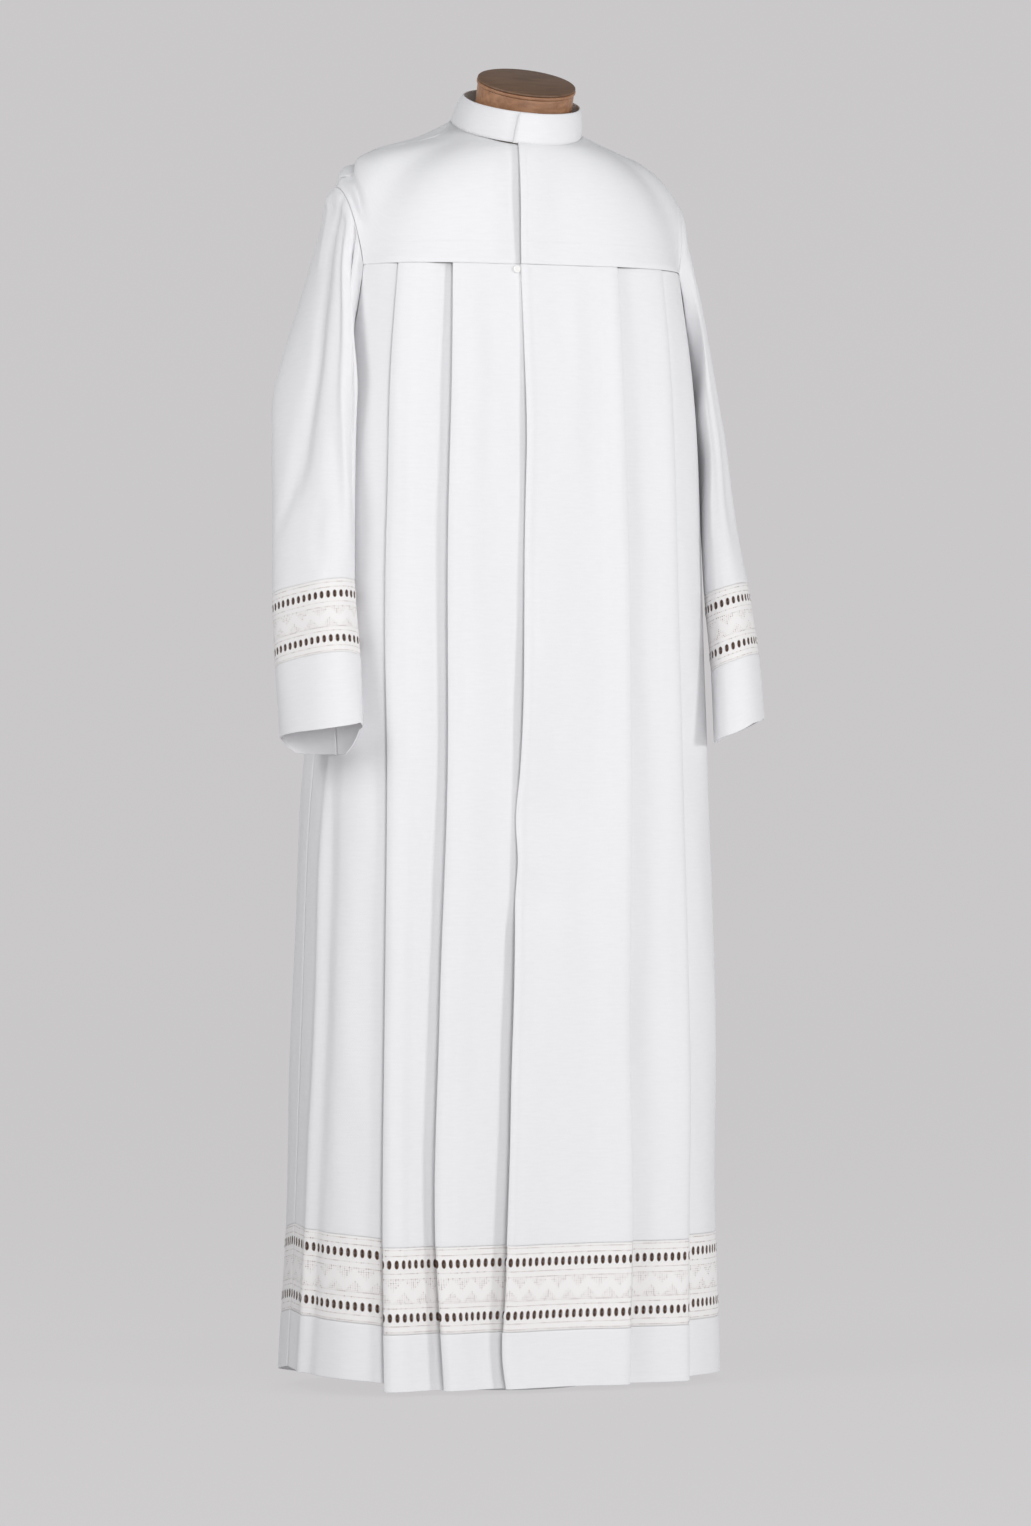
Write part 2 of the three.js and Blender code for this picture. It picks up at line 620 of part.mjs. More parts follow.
// One ring of a sleeve. The angle is 0 at the front, 90 outward or on top, 180 at the back.
function sleeveRing(given, side, inset) {
  const section = side > 0 ? asLeftSleeve(given) : given;
  const [sinLean, cosLean] = [Math.sin(radians(section.lean)), Math.cos(radians(section.lean))];
  const [sinTurn, cosTurn] = [Math.sin(radians(section.turn)), Math.cos(radians(section.turn))];
  const rise = sleeveSwing.rise[side > 0 ? 'left' : 'right'];
  const ride = rise * smooth(-section.height, -sleeveSwing.from, -sleeveSwing.to);
  return steps(sleeveShape.points).slice(0, -1).map((share) => {
    const angle = radians(360 * share);
    const half = Math.sin(angle) >= 0 ? section.outer : section.inner;
    const deep = (section.deep - inset) * signedPower(Math.cos(angle), sleeveShape.power);
    const thick = (half - inset) * signedPower(Math.sin(angle), sleeveShape.power);
    const out = section.out - deep * sinTurn + thick * cosTurn * cosLean;
    const forward = section.forward + deep * cosTurn + thick * sinTurn * cosLean;
    const up = thick * sinLean + deep * ride;
    const { shift } = tableAt(bodySections, section.height + up);
    return new THREE.Vector3(shift + side * out, -forward, section.height + up);
  });
}

function asLeftSleeve(section) {
  const change = tableAt(leftSleeve, section.height);
  return {
    ...section,
    out: section.out + change.out,
    lean: section.lean + change.lean,
    outer: section.outer * change.outer,
    inner: section.inner * change.flat,
    turn: section.turn * change.flat,
  };
}

function armholeRing(side, inset) {
  return steps(sleeveShape.points).slice(0, -1).map((share) => {
    const point = armholePoint(share * 360, side);
    const scale = 1 - inset / armhole.halfDepth;
    const z = yokeSeamHeight + (point.z - yokeSeamHeight) * scale;
    const out = lerp(restGap, sleeveRest, smooth(yokeSeamHeight - point.z, 0, armhole.halfDepth / 2));
    return new THREE.Vector3(point.x + side * out, point.y * scale, z);
  });
}

const sleeveEnd = sleeveSections.at(-1);
const lowered = (section, distance) => ({ ...section, height: section.height - distance });

// The lace and cuff continue from the sleeve's end to the cuff's lower edge.
function belowSleeve(cuffEnd, distance) {
  const share = distance / (sleeveEnd.height - cuffEnd.height);
  const names = Object.keys(sleeveEnd);
  return Object.fromEntries(names.map((name) => [name, lerp(sleeveEnd[name], cuffEnd[name], share)]));
}

function sleeveGeometry(sections, side, fromArmhole = false) {
  const rings = (inset) => [
    ...(fromArmhole ? [armholeRing(side, inset)] : []),
    ...sections.map((section) => sleeveRing(section, side, inset)),
  ];
  const outer = rings(0);
  const flatEnds = rings(wall);
  const inner = outer.map((ring, row) => (
    row && row < outer.length - 1 ? innerRing(outer, row) : flatEnds[row]));
  return wallGeometry(outer, inner, true);
}

// A ring between two others, moved in by the wall along the sleeve's own normals.
function innerRing(rings, row) {
  const ring = rings[row];
  const middle = new THREE.Vector3();
  ring.forEach((point) => middle.addScaledVector(point, 1 / ring.length));
  return ring.map((point, column) => {
    const along = rings[row + 1][column].clone().sub(rings[row - 1][column]);
    const round = ring[(column + 1) % ring.length].clone().sub(ring.at(column - 1));
    const normal = along.cross(round).normalize();
    if (normal.dot(point.clone().sub(middle)) < 0) {
      normal.negate();
    }
    return point.clone().addScaledVector(normal, -wall);
  });
}

// ---- the dress form ------------------------------------------------------------------------------

// The form has the yoke's own columns, so that their flat faces lie alike on the shoulders.
const formTurns = [
  ...backYokeColumns().map(({ turn }) => (turn > 180 ? turn - 360 : turn)),
  ...frontYokeColumns(-1, [0]).slice(1).map(({ turn }) => turn),
  ...frontYokeColumns(1, []).slice(0, -1).map(({ turn }) => turn),
].sort((a, b) => a - b);

// The outer edge of the yoke at any turn round the neck, for the form's shoulders below it.
function yokeEdge(turn) {
  const side = Math.sign(turn) || 1;
  const size = Math.abs(turn);
  const corner = shoulder.cornerTurn;
  if (size <= corner) {
    return seamPoint(seamXAt(turn), false);
  }
  if (size >= 180 - corner) {
    return seamPoint(side * armholeX * ((180 - size) / corner), true);
  }
  return armholePoint((90 * (size - corner)) / (90 - corner), side);
}

function formRing(section) {
  return formTurns.map((turn) => {
    const [sin, cos] = [Math.sin(radians(turn)), Math.cos(radians(turn))];
    const depth = cos >= 0 ? section.halfFront : section.halfBack;
    const middleHeight = cos >= 0 ? section.front : section.back;
    const z = lerp(middleHeight, section.side, sin ** 4);
    return new THREE.Vector3(section.halfWidth * sin, -depth * cos, z);
  });
}

// A level ring round the leaning neck, a distance below the cap's top along the neck.
function neckRing(radius, below) {
  const { x, y, z } = form.capTop;
  const [sin, cos] = [Math.sin(radians(form.lean)), Math.cos(radians(form.lean))];
  return formTurns.map((turn) => {
    const deep = -radius * Math.cos(radians(turn));
    return new THREE.Vector3(
      x + radius * Math.sin(radians(turn)), y + deep * cos + below * sin, z + deep * sin - below * cos);
  });
}

function torsoGeometry() {
  const surface = shoulderShares.map((share) => (
    formTurns.map((turn) => shoulderPoint(turn, yokeEdge(turn), share))));
  const closed = surface.map((row) => [row.at(-1), ...row, row[0]]);
  const inset = (row, column) => {
    const turn = formTurns.at(column - 1 - (column > formTurns.length ? formTurns.length : 0));
    const side = smooth(Math.abs(Math.sin(radians(turn))), form.restFrom, form.restTo);
    return -(wall + lerp(form.inset, restGap, side));
  };
  const shoulders = offsetGrid(closed, inset, awayFromMiddle).map((row) => row.slice(1, -1));
  const { bottom: z, bottomScale } = form;
  const bottom = formRing(formSections.at(-1))
    .map((point) => new THREE.Vector3(point.x * bottomScale, point.y * bottomScale, z));
  return stackGeometry([
    neckRing(form.neckRadius, form.capHeight + form.blockHeight + seamGap * 2),
    ...shoulders,
    ...formSections.map(formRing),
    bottom,
  ]);
}

const blockTop = form.capHeight + seamGap;
const neckBlockRings = [
  neckRing(form.neckRadius - blockEdge.inset, blockTop),
  neckRing(form.neckRadius, blockTop + blockEdge.below),
  neckRing(form.neckRadius, blockTop + form.blockHeight),
];
const neckCapRings = capProfile.map(({ inset, below }) => neckRing(form.capRadius - inset, below));

function standGeometry(radius, bottom, top, round) {
  const profile = [
    [0, bottom],
    [radius - round / 2, bottom],
    [radius, bottom + round / 2],
    [radius, top - round],
    [radius - round, top],
    [0, top],
  ].map(([across, height]) => new THREE.Vector2(across, height));
  return new THREE.LatheGeometry(profile, roundSteps).rotateX(Math.PI / 2).translate(0, form.poleY, 0);
}

// ---- the snap at the top of the front slit ----------------------------------------------------------

const snap = { radius: 4.5, topRadius: 3.9, height: 2.4, x: -32.5, z: 1302, sides: 20 };

function snapMesh(material) {
  const { position, normal } = sectionPoint(turnAtX(snap.x, snap.z, false), snap.z);
  const out = wall / 2 + seamGap + restGap + snap.height / 2;
  const geometry = new THREE.CylinderGeometry(snap.topRadius, snap.radius, snap.height, snap.sides);
  const mesh = new THREE.Mesh(geometry, material);
  mesh.name = 'front_snap';
  mesh.position.set(position.x + normal.x * out, position.y + normal.y * out, snap.z);
  mesh.rotation.z = Math.atan2(normal.y, normal.x) - Math.PI / 2;
  return mesh;
}

// ---- the parts -----------------------------------------------------------------------------------------

const materials = {
  cloth: new THREE.MeshStandardMaterial({ color: '#ebeaee', roughness: 0.75, metalness: 0 }),
  lace: new THREE.MeshStandardMaterial({ color: '#e8e3e0', roughness: 0.85, metalness: 0 }),
  wood: new THREE.MeshStandardMaterial({ color: '#7d6251', roughness: 0.5, metalness: 0 }),
  formCloth: new THREE.MeshStandardMaterial({ color: '#cfc4ae', roughness: 0.9, metalness: 0 }),
  snap: new THREE.MeshStandardMaterial({ color: '#f4f4f2', roughness: 0.35, metalness: 0 }),
  steel: new THREE.MeshStandardMaterial({ color: '#8d8f92', roughness: 0.35, metalness: 0.9 }),
};

const tuckUnder = ({ edge }) => -overlap.lift * smooth(edge.x, overlap.tuckFrom, overlap.tuckTo);
const pieces = [
  ['collar_band', materials.cloth, collarGeometry()],
  ['yoke_front_right', materials.cloth, yokeGeometry(frontYokeColumns(-1, [-frontEdge.under]), tuckUnder)],
  ['yoke_front_left', materials.cloth, yokeGeometry(frontYokeColumns(1, [-frontEdge.over, 0]))],
  ['yoke_back', materials.cloth, yokeGeometry(backYokeColumns())],
];

const skirtLines = { front_right: frontRightLine, front_left: frontLeftLine, back: backLine };
for (const [place, line] of Object.entries(skirtLines)) {
  pieces.push([`skirt_${place}`, materials.cloth, skirtWall(line, skirtLevels)]);
  pieces.push([`lace_${place}`, materials.lace, skirtWall(line, laceLevels)]);
  pieces.push([`hem_${place}`, materials.cloth, skirtWall(line, hemLevels)]);
}

for (const [place, side] of [['right', -1], ['left', 1]]) {
  pieces.push([`sleeve_${place}`, materials.cloth, sleeveGeometry(sleeveSections, side, true)]);
  const laceEnd = belowSleeve(cuffEnds[place], sleeveLaceDepth);
  const lace = [lowered(sleeveEnd, seamGap), laceEnd];
  const cuff = [lowered(laceEnd, seamGap), cuffEnds[place]];
  pieces.push([`sleeve_lace_${place}`, materials.lace, sleeveGeometry(lace, side)]);
  pieces.push([`cuff_${place}`, materials.cloth, sleeveGeometry(cuff, side)]);
}

const poleTop = form.bottom - seamGap;
pieces.push(['form_torso', materials.formCloth, torsoGeometry()]);
pieces.push(['form_neck', materials.wood, stackGeometry(neckBlockRings)]);
pieces.push(['form_neck_cap', materials.wood, stackGeometry(neckCapRings)]);
const poleBottom = form.baseHeight + seamGap;
pieces.push(['stand_pole', materials.steel, standGeometry(form.poleRadius, poleBottom, poleTop, 1)]);
pieces.push(['stand_base', materials.steel, standGeometry(form.baseRadius, 0, form.baseHeight, 4)]);

const alb = new THREE.Group();
for (const [name, material, geometry] of pieces) {
  geometry.computeVertexNormals();
  const mesh = new THREE.Mesh(geometry, material);
  mesh.name = name;
  alb.add(mesh);
}
alb.add(snapMesh(materials.snap));

export default alb;
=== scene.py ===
import math
from functools import partialmethod, reduce

import bpy
import numpy as np
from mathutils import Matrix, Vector


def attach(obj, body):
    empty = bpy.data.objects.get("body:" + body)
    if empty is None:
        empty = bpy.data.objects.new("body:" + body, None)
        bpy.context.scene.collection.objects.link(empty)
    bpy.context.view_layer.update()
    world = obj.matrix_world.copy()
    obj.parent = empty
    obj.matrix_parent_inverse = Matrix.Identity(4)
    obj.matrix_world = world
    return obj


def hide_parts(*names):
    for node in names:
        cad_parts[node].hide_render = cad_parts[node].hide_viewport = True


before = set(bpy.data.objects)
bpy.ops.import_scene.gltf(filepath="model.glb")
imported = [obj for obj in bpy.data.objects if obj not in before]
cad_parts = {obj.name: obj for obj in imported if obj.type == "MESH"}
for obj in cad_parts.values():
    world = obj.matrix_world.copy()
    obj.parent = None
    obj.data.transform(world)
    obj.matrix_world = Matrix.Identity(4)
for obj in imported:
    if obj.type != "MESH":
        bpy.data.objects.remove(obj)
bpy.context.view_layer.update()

mm = 0.001               # the tables are in millimetres and the meshes in metres
materials = {}
stitches = []            # every sewn stitch, joined into one piece near the end
sides = {"right": -1, "left": 1}         # the wearer's, as the sign of X
print("frame loaded")


def curveAt(places, values, at):         # a smooth curve through a short table
    places, values = np.asarray(places, float), np.asarray(values, float)
    slopes = np.gradient(values, places, axis=0)
    at = np.clip(np.asarray(at, float), places[0], places[-1])
    low = np.clip(np.searchsorted(places, at) - 1, 0, len(places) - 2)
    span = places[low + 1] - places[low]
    t = (at - places[low]) / span
    wide = t.shape + (1,) * (values.ndim - 1)
    t, span = t.reshape(wide), span.reshape(wide)
    rest = 1 - t
    ends = rest * rest * (1 + 2 * t) * values[low] + t * t * (3 - 2 * t) * values[low + 1]
    return ends + t * rest * span * (rest * slopes[low] - t * slopes[low + 1])


def cutAt(table, name, height):          # one column of a table of heights, at any height
    return curveAt(table["height"], table[name], height)


def smoothStep(low, high, value):
    t = np.clip((np.asarray(value, float) - low) / (high - low), 0, 1)
    return t * t * (3 - 2 * t)


def fadeEnds(share, rise, fall):         # 1 between the rise and the fall, and 0 beyond them
    return smoothStep(*rise, share) * (1 - smoothStep(*fall, share))


def signedPower(value, power):
    return np.sign(value) * np.abs(value) ** power


def bell(away, width):
    return np.exp(-(away / width) ** 2)


def mix(a, b, share):
    return a + (b - a) * share


def turned(degrees):
    return np.cos(np.radians(degrees)), np.sin(np.radians(degrees))


def unit(vectors):
    return vectors / np.maximum(np.linalg.norm(vectors, axis=-1, keepdims=True), 1e-9)


def distances(points, axis=0):           # running distance along a line of points
    steps = np.linalg.norm(np.diff(points, axis=axis), axis=-1)
    if steps.ndim > 1:
        steps = steps.mean(axis=1 - axis)
    return np.concatenate([[0], np.cumsum(steps)])


def gridNormals(grid, middle):           # middle is a point that the normals look away from
    normals = unit(np.cross(np.gradient(grid, axis=1), np.gradient(grid, axis=0)))
    return normals if np.sum(normals * (grid - middle)) > 0 else -normals


def gridFaces(rows, columns, around=False):
    index = np.arange(rows * columns).reshape(rows, columns)
    right = np.roll(index, -1, axis=1) if around else index[:, 1:]
    left = index if around else index[:, :-1]
    return np.stack([left[:-1], right[:-1], right[1:], left[1:]], axis=-1).reshape(-1, 4).tolist()


def gridUvs(across, up):
    return np.stack(np.broadcast_arrays(across, up), axis=2).reshape(-1, 2)


def meshObject(name, points, faces, uvs=None):
    mesh = bpy.data.meshes.new(name)
    mesh.from_pydata((np.asarray(points) * mm).tolist(), [], [list(face) for face in faces])
    if uvs is not None:                  # one pair of millimetres of flat cloth per vertex
        layer = mesh.uv_layers.new(name="cloth")
        corners = np.zeros(len(mesh.loops), int)
        mesh.loops.foreach_get("vertex_index", corners)
        layer.data.foreach_set("uv", (np.asarray(uvs)[corners] * mm).ravel())
    piece = bpy.data.objects.new(name, mesh)
    bpy.context.scene.collection.objects.link(piece)
    return piece


def onlySelect(piece):
    bpy.ops.object.select_all(action="DESELECT")
    piece.select_set(True)
    bpy.context.view_layer.objects.active = piece


def applyModifier(piece, kind, **settings):
    onlySelect(piece)
    modifier = piece.modifiers.new(kind.title(), kind)
    for key, value in settings.items():
        setattr(modifier, key, value)
    bpy.ops.object.modifier_apply(modifier=modifier.name)


def faceOutward(piece):
    onlySelect(piece)
    bpy.ops.object.mode_set(mode="EDIT")
    bpy.ops.mesh.select_all(action="SELECT")
    bpy.ops.mesh.normals_make_consistent(inside=False)
    bpy.ops.object.mode_set(mode="OBJECT")


def finish(piece, material, node=None):
    piece.data.materials.append(materials[material])
    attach(piece, "root")
    if node:
        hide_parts(node)


def finishHard(piece, material, node=None):
    onlySelect(piece)
    bpy.ops.object.transform_apply(location=True, rotation=True, scale=True)
    finish(piece, material, node)


def finishCloth(piece, node, area, material="whiteCloth"):
    finish(piece, material, node)


def thicken(piece, thickness, middle):   # turns the faces away from the middle, gives the sheet's own area
    mesh = piece.data
    area, centre = sum(face.area for face in mesh.polygons), Vector(middle) * mm
    if sum((face.center - centre).dot(face.normal) * face.area for face in mesh.polygons) < 0:
        mesh.flip_normals()
    applyModifier(piece, "SOLIDIFY", thickness=thickness * mm, offset=0, use_rim=True)
    mesh.shade_smooth()
    return area


def makeSheet(name, node, grid, uvs, thickness, middle):
    piece = meshObject(name, grid.reshape(-1, 3), gridFaces(*grid.shape[:2]), uvs)
    finishCloth(piece, node, thicken(piece, thickness, middle))


stitch = {"length": 2.4, "pitch": 3.1, "radius": 0.28, "sides": 5}


def sew(line, outward):                  # a row of stitches along a line that lies on the cloth
    run = distances(line)
    for start in np.arange(1, run[-1] - stitch["length"], stitch["pitch"]):
        places = start + stitch["length"] * np.array([0, 0.25, 0.75, 1])
        spine, up = (np.stack([np.interp(places, run, part[:, i]) for i in range(3)], axis=1)
                     for part in (line, unit(outward)))
        up = unit(up)
        across = unit(np.cross(unit(spine[-1] - spine[0]), up))
        spine = spine + up * stitch["radius"] * np.array([[-0.8], [0.35], [0.35], [-0.8]])
        swell = stitch["radius"] * np.array([0.5, 1, 1, 0.5])[:, None, None]
        turns = np.linspace(0, 2 * math.pi, stitch["sides"], endpoint=False)[None, :, None]
        stitches.append(spine[:, None] + swell * (np.cos(turns) * across[:, None] + np.sin(turns) * up[:, None]))


def sewOn(grid, middle, pick, out):      # stitches along the picked row or column of a grid
    normals = gridNormals(grid, middle)[pick]
    sew(grid[pick] + normals * out, normals)


def setInputs(node, values):             # sockets are linked, and other values are set
    for key, value in values.items():
        value = getattr(value, "socket", value)
        if isinstance(value, bpy.types.NodeSocket):
            node.id_data.links.new(value, node.inputs[key])
        elif value is not None:
            node.inputs[key].default_value = value


def addNode(tree, kind, values, **settings):
    node = tree.nodes.new("ShaderNode" + kind)
    for key, value in settings.items():
        setattr(node, key, value)
    setInputs(node, values)
    return node


class Value:                             # what a node gives, for sums with other nodes and numbers
    def __init__(self, socket):
        self.socket = socket

    def math(self, operation, other=None, clamp=False):
        node = addNode(self.socket.id_data, "Math", {0: self, 1: other}, operation=operation, use_clamp=clamp)
        return Value(node.outputs[0])

    __add__ = partialmethod(math, "ADD")
    __sub__ = partialmethod(math, "SUBTRACT")
    __mul__ = partialmethod(math, "MULTIPLY")

    def share(self, gain):               # held between 0 and 1
        return self.math("MULTIPLY", gain, True)


def mostOf(values):
    return reduce(lambda total, value: total.math("MAXIMUM", value), values)


def newMaterial(name, color, roughness, **constants):
    material = materials[name] = bpy.data.materials.new(name)
    material.use_nodes = True
    shader = material.node_tree.nodes["Principled BSDF"]
    setInputs(shader, {"Base Color": (*color, 1), "Roughness": roughness,
                       **{key.replace("_", " "): value for key, value in constants.items()}})
    return material.node_tree, shader


def colorMix(tree, share, *colors):
    low, high = (color if isinstance(color, bpy.types.NodeSocket) else (*color, 1) for color in colors)
    return addNode(tree, "Mix", {"Factor": share, 6: low, 7: high}, data_type="RGBA").outputs[2]


def noiseNode(tree, vector, scale, detail=3, stretch=(1, 1, 1)):
    place = addNode(tree, "Mapping", {"Scale": stretch, "Vector": vector}).outputs[0]
    return Value(addNode(tree, "TexNoise", {"Scale": scale, "Detail": detail, "Vector": place}).outputs["Fac"])


def bumpNode(tree, shader, height, distance, strength, below=None):
    bump = addNode(tree, "Bump", {"Distance": distance, "Strength": strength, "Height": height, "Normal": below})
    setInputs(shader, {"Normal": bump.outputs[0]})
    return bump.outputs[0]


def vectorParts(tree, vector):
    return vector, *(Value(part) for part in addNode(tree, "SeparateXYZ", {0: vector}).outputs)


def clothParts(tree):                    # the flat cloth's own place, in metres
    return vectorParts(tree, addNode(tree, "UVMap", {}, uv_map="cloth").outputs[0])[:3]


def objectParts(tree):
    return vectorParts(tree, addNode(tree, "TexCoord", {}).outputs["Object"])


def weaveHeight(u, v, thread):
    turn = 2 * math.pi / thread
    return (u * turn).math("SINE") * (v * turn).math("SINE")


clothLook = {
    "dark": (0.775, 0.775, 0.792),
    "light": (0.825, 0.825, 0.842),
    "roughness": 0.6,
    "thread": 0.00055,   # from thread to thread of the plain weave
    "weave": 0.00006,
    "crush": 0.0007,
    "crushGrain": (14, 5),
    "slub": (60, 4, (1, 6, 1)),
    "slubShare": 1.5,
    "strength": (0.35, 0.6),       # of the crush, and of the weave
    "shader": {"Sheen_Weight": 0.2, "Sheen_Roughness": 0.4, "Specular_IOR_Level": 0.3},
}


def makeCloth():
    look = clothLook
    tree, shader = newMaterial("whiteCloth", look["light"], look["roughness"], **look["shader"])
    uv, u, v = clothParts(tree)
    slub = noiseNode(tree, uv, *look["slub"])
    soft = bumpNode(tree, shader, noiseNode(tree, uv, *look["crushGrain"]), look["crush"], look["strength"][0])
    weave = weaveHeight(u, v, look["thread"]) + slub * look["slubShare"]
    bumpNode(tree, shader, weave, look["weave"], look["strength"][1], soft)
    setInputs(shader, {"Base Color": colorMix(tree, slub, look["dark"], look["light"])})


laceCut = {              # heights in millimetres above the band's lower edge
    "pitch": 8.6,        # from eyelet to eyelet
    "eyelets": (19.4, 80.8),
    "wide": 2.4,         # half sizes of an eyelet
    "tall": 4.7,
    "pointed": 1.7,
    "rims": ((1.6, 1.25, 0), (1.25, 1.12, 0.5), (1, 1, 0.15)),      # the worked rim's rings, and how far out
    "cell": 8.5,         # half the height of the cloth worked round each eyelet
    "thickness": 0.8,
}
laceLook = {
    "thread": (0.86, 0.843, 0.838),
    # painted shade: the dark inside seen through the pinholes, which are the lace's own pattern
    "pinholeShade": (0.20, 0.10, 0.06),
    # painted shade: the dark inside seen through an eyelet, put on its rim and on the faces across it
    "eyeletShade": (0.075, 0.036, 0.021),
    "rim": 1.14,         # how far the eyelet's painted shade reaches, in half widths
    "faint": 0.24,       # how plain the pinholes are, and how many of them stand out
    "plain": 0.475,
    "strong": 8,         # how sharply those few stand out
    "sharp": {"pinholeShade": 2.4, "eyeletShade": 9, "waist": 2},
    "waist": 0.3,        # how dark the painted shade stays across an eyelet's waist
    "dot": 2.87,         # from pinhole to pinhole
    "radius": 0.8,
    "rows": (2.9, 9.6, 30.2, 35.9, 63.6, 70.2, 90.6, 97.2),
    "point": 25.8,       # width of one triangle of pinholes, which is three eyelets
    "down": (49.5, 61.5),
    "up": (37.8, 48.6),
    "gap": 2.5,          # between rows of pinholes in a triangle
    "alone": 400,        # a pitch so long that a row of dots has no neighbour
    "narrow": 0.85,      # how much of a triangle's width its pinholes take
    "thin": 0.75,        # how dark a triangle's pinholes are
    "grain": 240,
    "weave": (1.1, 0.3),           # from thread to thread, and its share of the relief
    "bump": (0.0004, 0.7),
    "roughness": 0.75,
    "shader": {"Sheen_Weight": 0.2, "Specular_IOR_Level": 0.25},
}


def dotMask(u, v, pitchU, pitchV, radius):
    across, along = u.math("PINGPONG", pitchU / 2), v.math("PINGPONG", pitchV / 2)
    reach = (across.math("POWER", 2) + along.math("POWER", 2)).math("SQRT").math("DIVIDE", radius)
    return (reach * -1).math("ADD", 1, clamp=True)


def bandMask(v, low, high):
    return v.math("GREATER_THAN", low) * v.math("LESS_THAN", high)


def pinholeRow(u, v, height):
    dots = dotMask(u, v - height, laceLook["dot"], laceLook["alone"], laceLook["radius"])
    return dots * bandMask(v, height - 2, height + 2)


def pinholePoints(u, v, low, high, shift, pointsDown):
    half = laceLook["point"] / 2
    along = u + shift
    rise = (v - low).math("DIVIDE", high - low)
    width = rise if pointsDown else rise * -1 + 1
    inside = along.math("PINGPONG", half).math("LESS_THAN", width * (half * laceLook["narrow"]))
    dots = dotMask(along, v - low, laceLook["dot"], laceLook["gap"], laceLook["radius"])
    return inside * bandMask(v, low - 0.5, high + 0.5) * (dots * laceLook["thin"])


def paintedEyeletShade(u, v, height):            # painted shade on the rim of each eyelet and across it, for the dark inside seen through it
    above = v - height
    oval = dotMask(u + laceCut["pitch"] / 2, above * (laceCut["wide"] / laceCut["tall"]), laceCut["pitch"],
                   laceLook["alone"], laceCut["wide"] * laceLook["rim"])
    waist = above.math("ABSOLUTE") + laceLook["waist"]
    return oval.share(laceLook["sharp"]["eyeletShade"]) * waist.share(laceLook["sharp"]["waist"])


def makeLace(name, scale):
    look = laceLook
    tree, shader = newMaterial(name, look["thread"], look["roughness"], **look["shader"])
    uv, u, v = clothParts(tree)
    u, v = (part * (1 / (scale * mm)) for part in (u, v))
    holes = mostOf([*(pinholeRow(u, v, height) for height in look["rows"]),
                    pinholePoints(u, v, *look["down"], 0.0, True),
                    pinholePoints(u, v, *look["up"], look["point"] / 2, False)])
    strong = (noiseNode(tree, uv, look["grain"] / scale, 1) - look["plain"]).share(look["strong"]) + look["faint"]
    dots = holes.share(look["sharp"]["pinholeShade"]).math("MULTIPLY", strong, clamp=True)
    # the pinholes' pattern is the lace's own; their dark colour is painted shade seen through them
    color = colorMix(tree, dots, look["thread"], look["pinholeShade"])
    # painted shade in the eyelets, for the dark inside seen through them
    eyelets = mostOf(paintedEyeletShade(u, v, height) for height in laceCut["eyelets"])
    setInputs(shader, {"Base Color": colorMix(tree, eyelets, color, look["eyeletShade"])})
    bumpNode(tree, shader, weaveHeight(u, v, look["weave"][0]) * look["weave"][1] - holes, *look["bump"])


woodLook = {             # each noise by its scale, detail and stretch
    "pores": (60, 6, (2, 30, 30)),
    "grain": (9, 4, (3, 22, 22)),
    "cloud": (14, 2),
    "poreShare": 0.4,
    "cloudShare": 0.5,
    "turn": (0.33, 0.62),          # where the grain is dark, and where it is light
    "bump": (0.0003, 0.35),
    "shader": {"Coat_Weight": 0.06, "Coat_Roughness": 0.35},
}


def makeWood(name, light, dark, roughness):
    look = woodLook
    tree, shader = newMaterial(name, light, roughness, **look["shader"])
    place = objectParts(tree)[0]
    pores, grain, cloud = (noiseNode(tree, place, *look[key]) for key in ("pores", "grain", "cloud"))
    grain = grain * (1 - look["poreShare"]) + pores * look["poreShare"]
    ramp = addNode(tree, "ValToRGB", {0: grain + (cloud * look["cloudShare"] - look["cloudShare"] / 2)})
    for element, at, color in zip(ramp.color_ramp.elements, look["turn"], (dark, light)):
        element.position, element.color = at, (*color, 1)
    setInputs(shader, {"Base Color": ramp.outputs[0]})
    bumpNode(tree, shader, pores, *look["bump"])


plainLooks = {           # grain: scale, detail and stretch of the unevenness; bump: its depth and strength
    "formLinen": {"dark": (0.50, 0.43, 0.32), "light": (0.62, 0.55, 0.43), "roughness": 0.85,
                  "grain": (90, 4, (1, 1, 5)), "bump": (0.0003, 0.5), "weave": 0.0012, "Sheen_Weight": 0.2},
    "satinSteel": {"dark": (0.40, 0.405, 0.41), "light": (0.56, 0.565, 0.57), "roughness": 0.34,
                   "grain": (120, 3, (1, 1, 14)), "bump": (0.00005, 0.4), "Metallic": 1.0},
    "snapResin": {"dark": (0.80, 0.80, 0.79), "light": (0.87, 0.87, 0.86), "roughness": 0.3,
                  "grain": (400, 2), "bump": (0.0001, 0.3), "Coat_Weight": 0.3},
    "sewingThread": {"dark": (0.74, 0.74, 0.75), "light": (0.84, 0.84, 0.85), "roughness": 0.55,
                     "grain": (900, 2), "bump": (0.0001, 0.3)},
}


def makePlain(name, dark, light, roughness, grain, bump, weave=None, **constants):
    tree, shader = newMaterial(name, light, roughness, **constants)
    place, x, y, z = objectParts(tree)
    cloud = noiseNode(tree, place, *grain)
    setInputs(shader, {"Base Color": colorMix(tree, cloud, dark, light)})
    bumpNode(tree, shader, weaveHeight(x, z, weave) + cloud if weave else cloud, *bump)


makeCloth()
makeLace("hemLace", 1.0)
makeLace("sleeveLace", 0.88)
makeWood("capTopWood", (0.20, 0.112, 0.064), (0.11, 0.058, 0.032), 0.55)
makeWood("capSideWood", (0.42, 0.215, 0.115), (0.24, 0.115, 0.06), 0.45)
for name, look in plainLooks.items():
    makePlain(name, **look)
print("materials made")


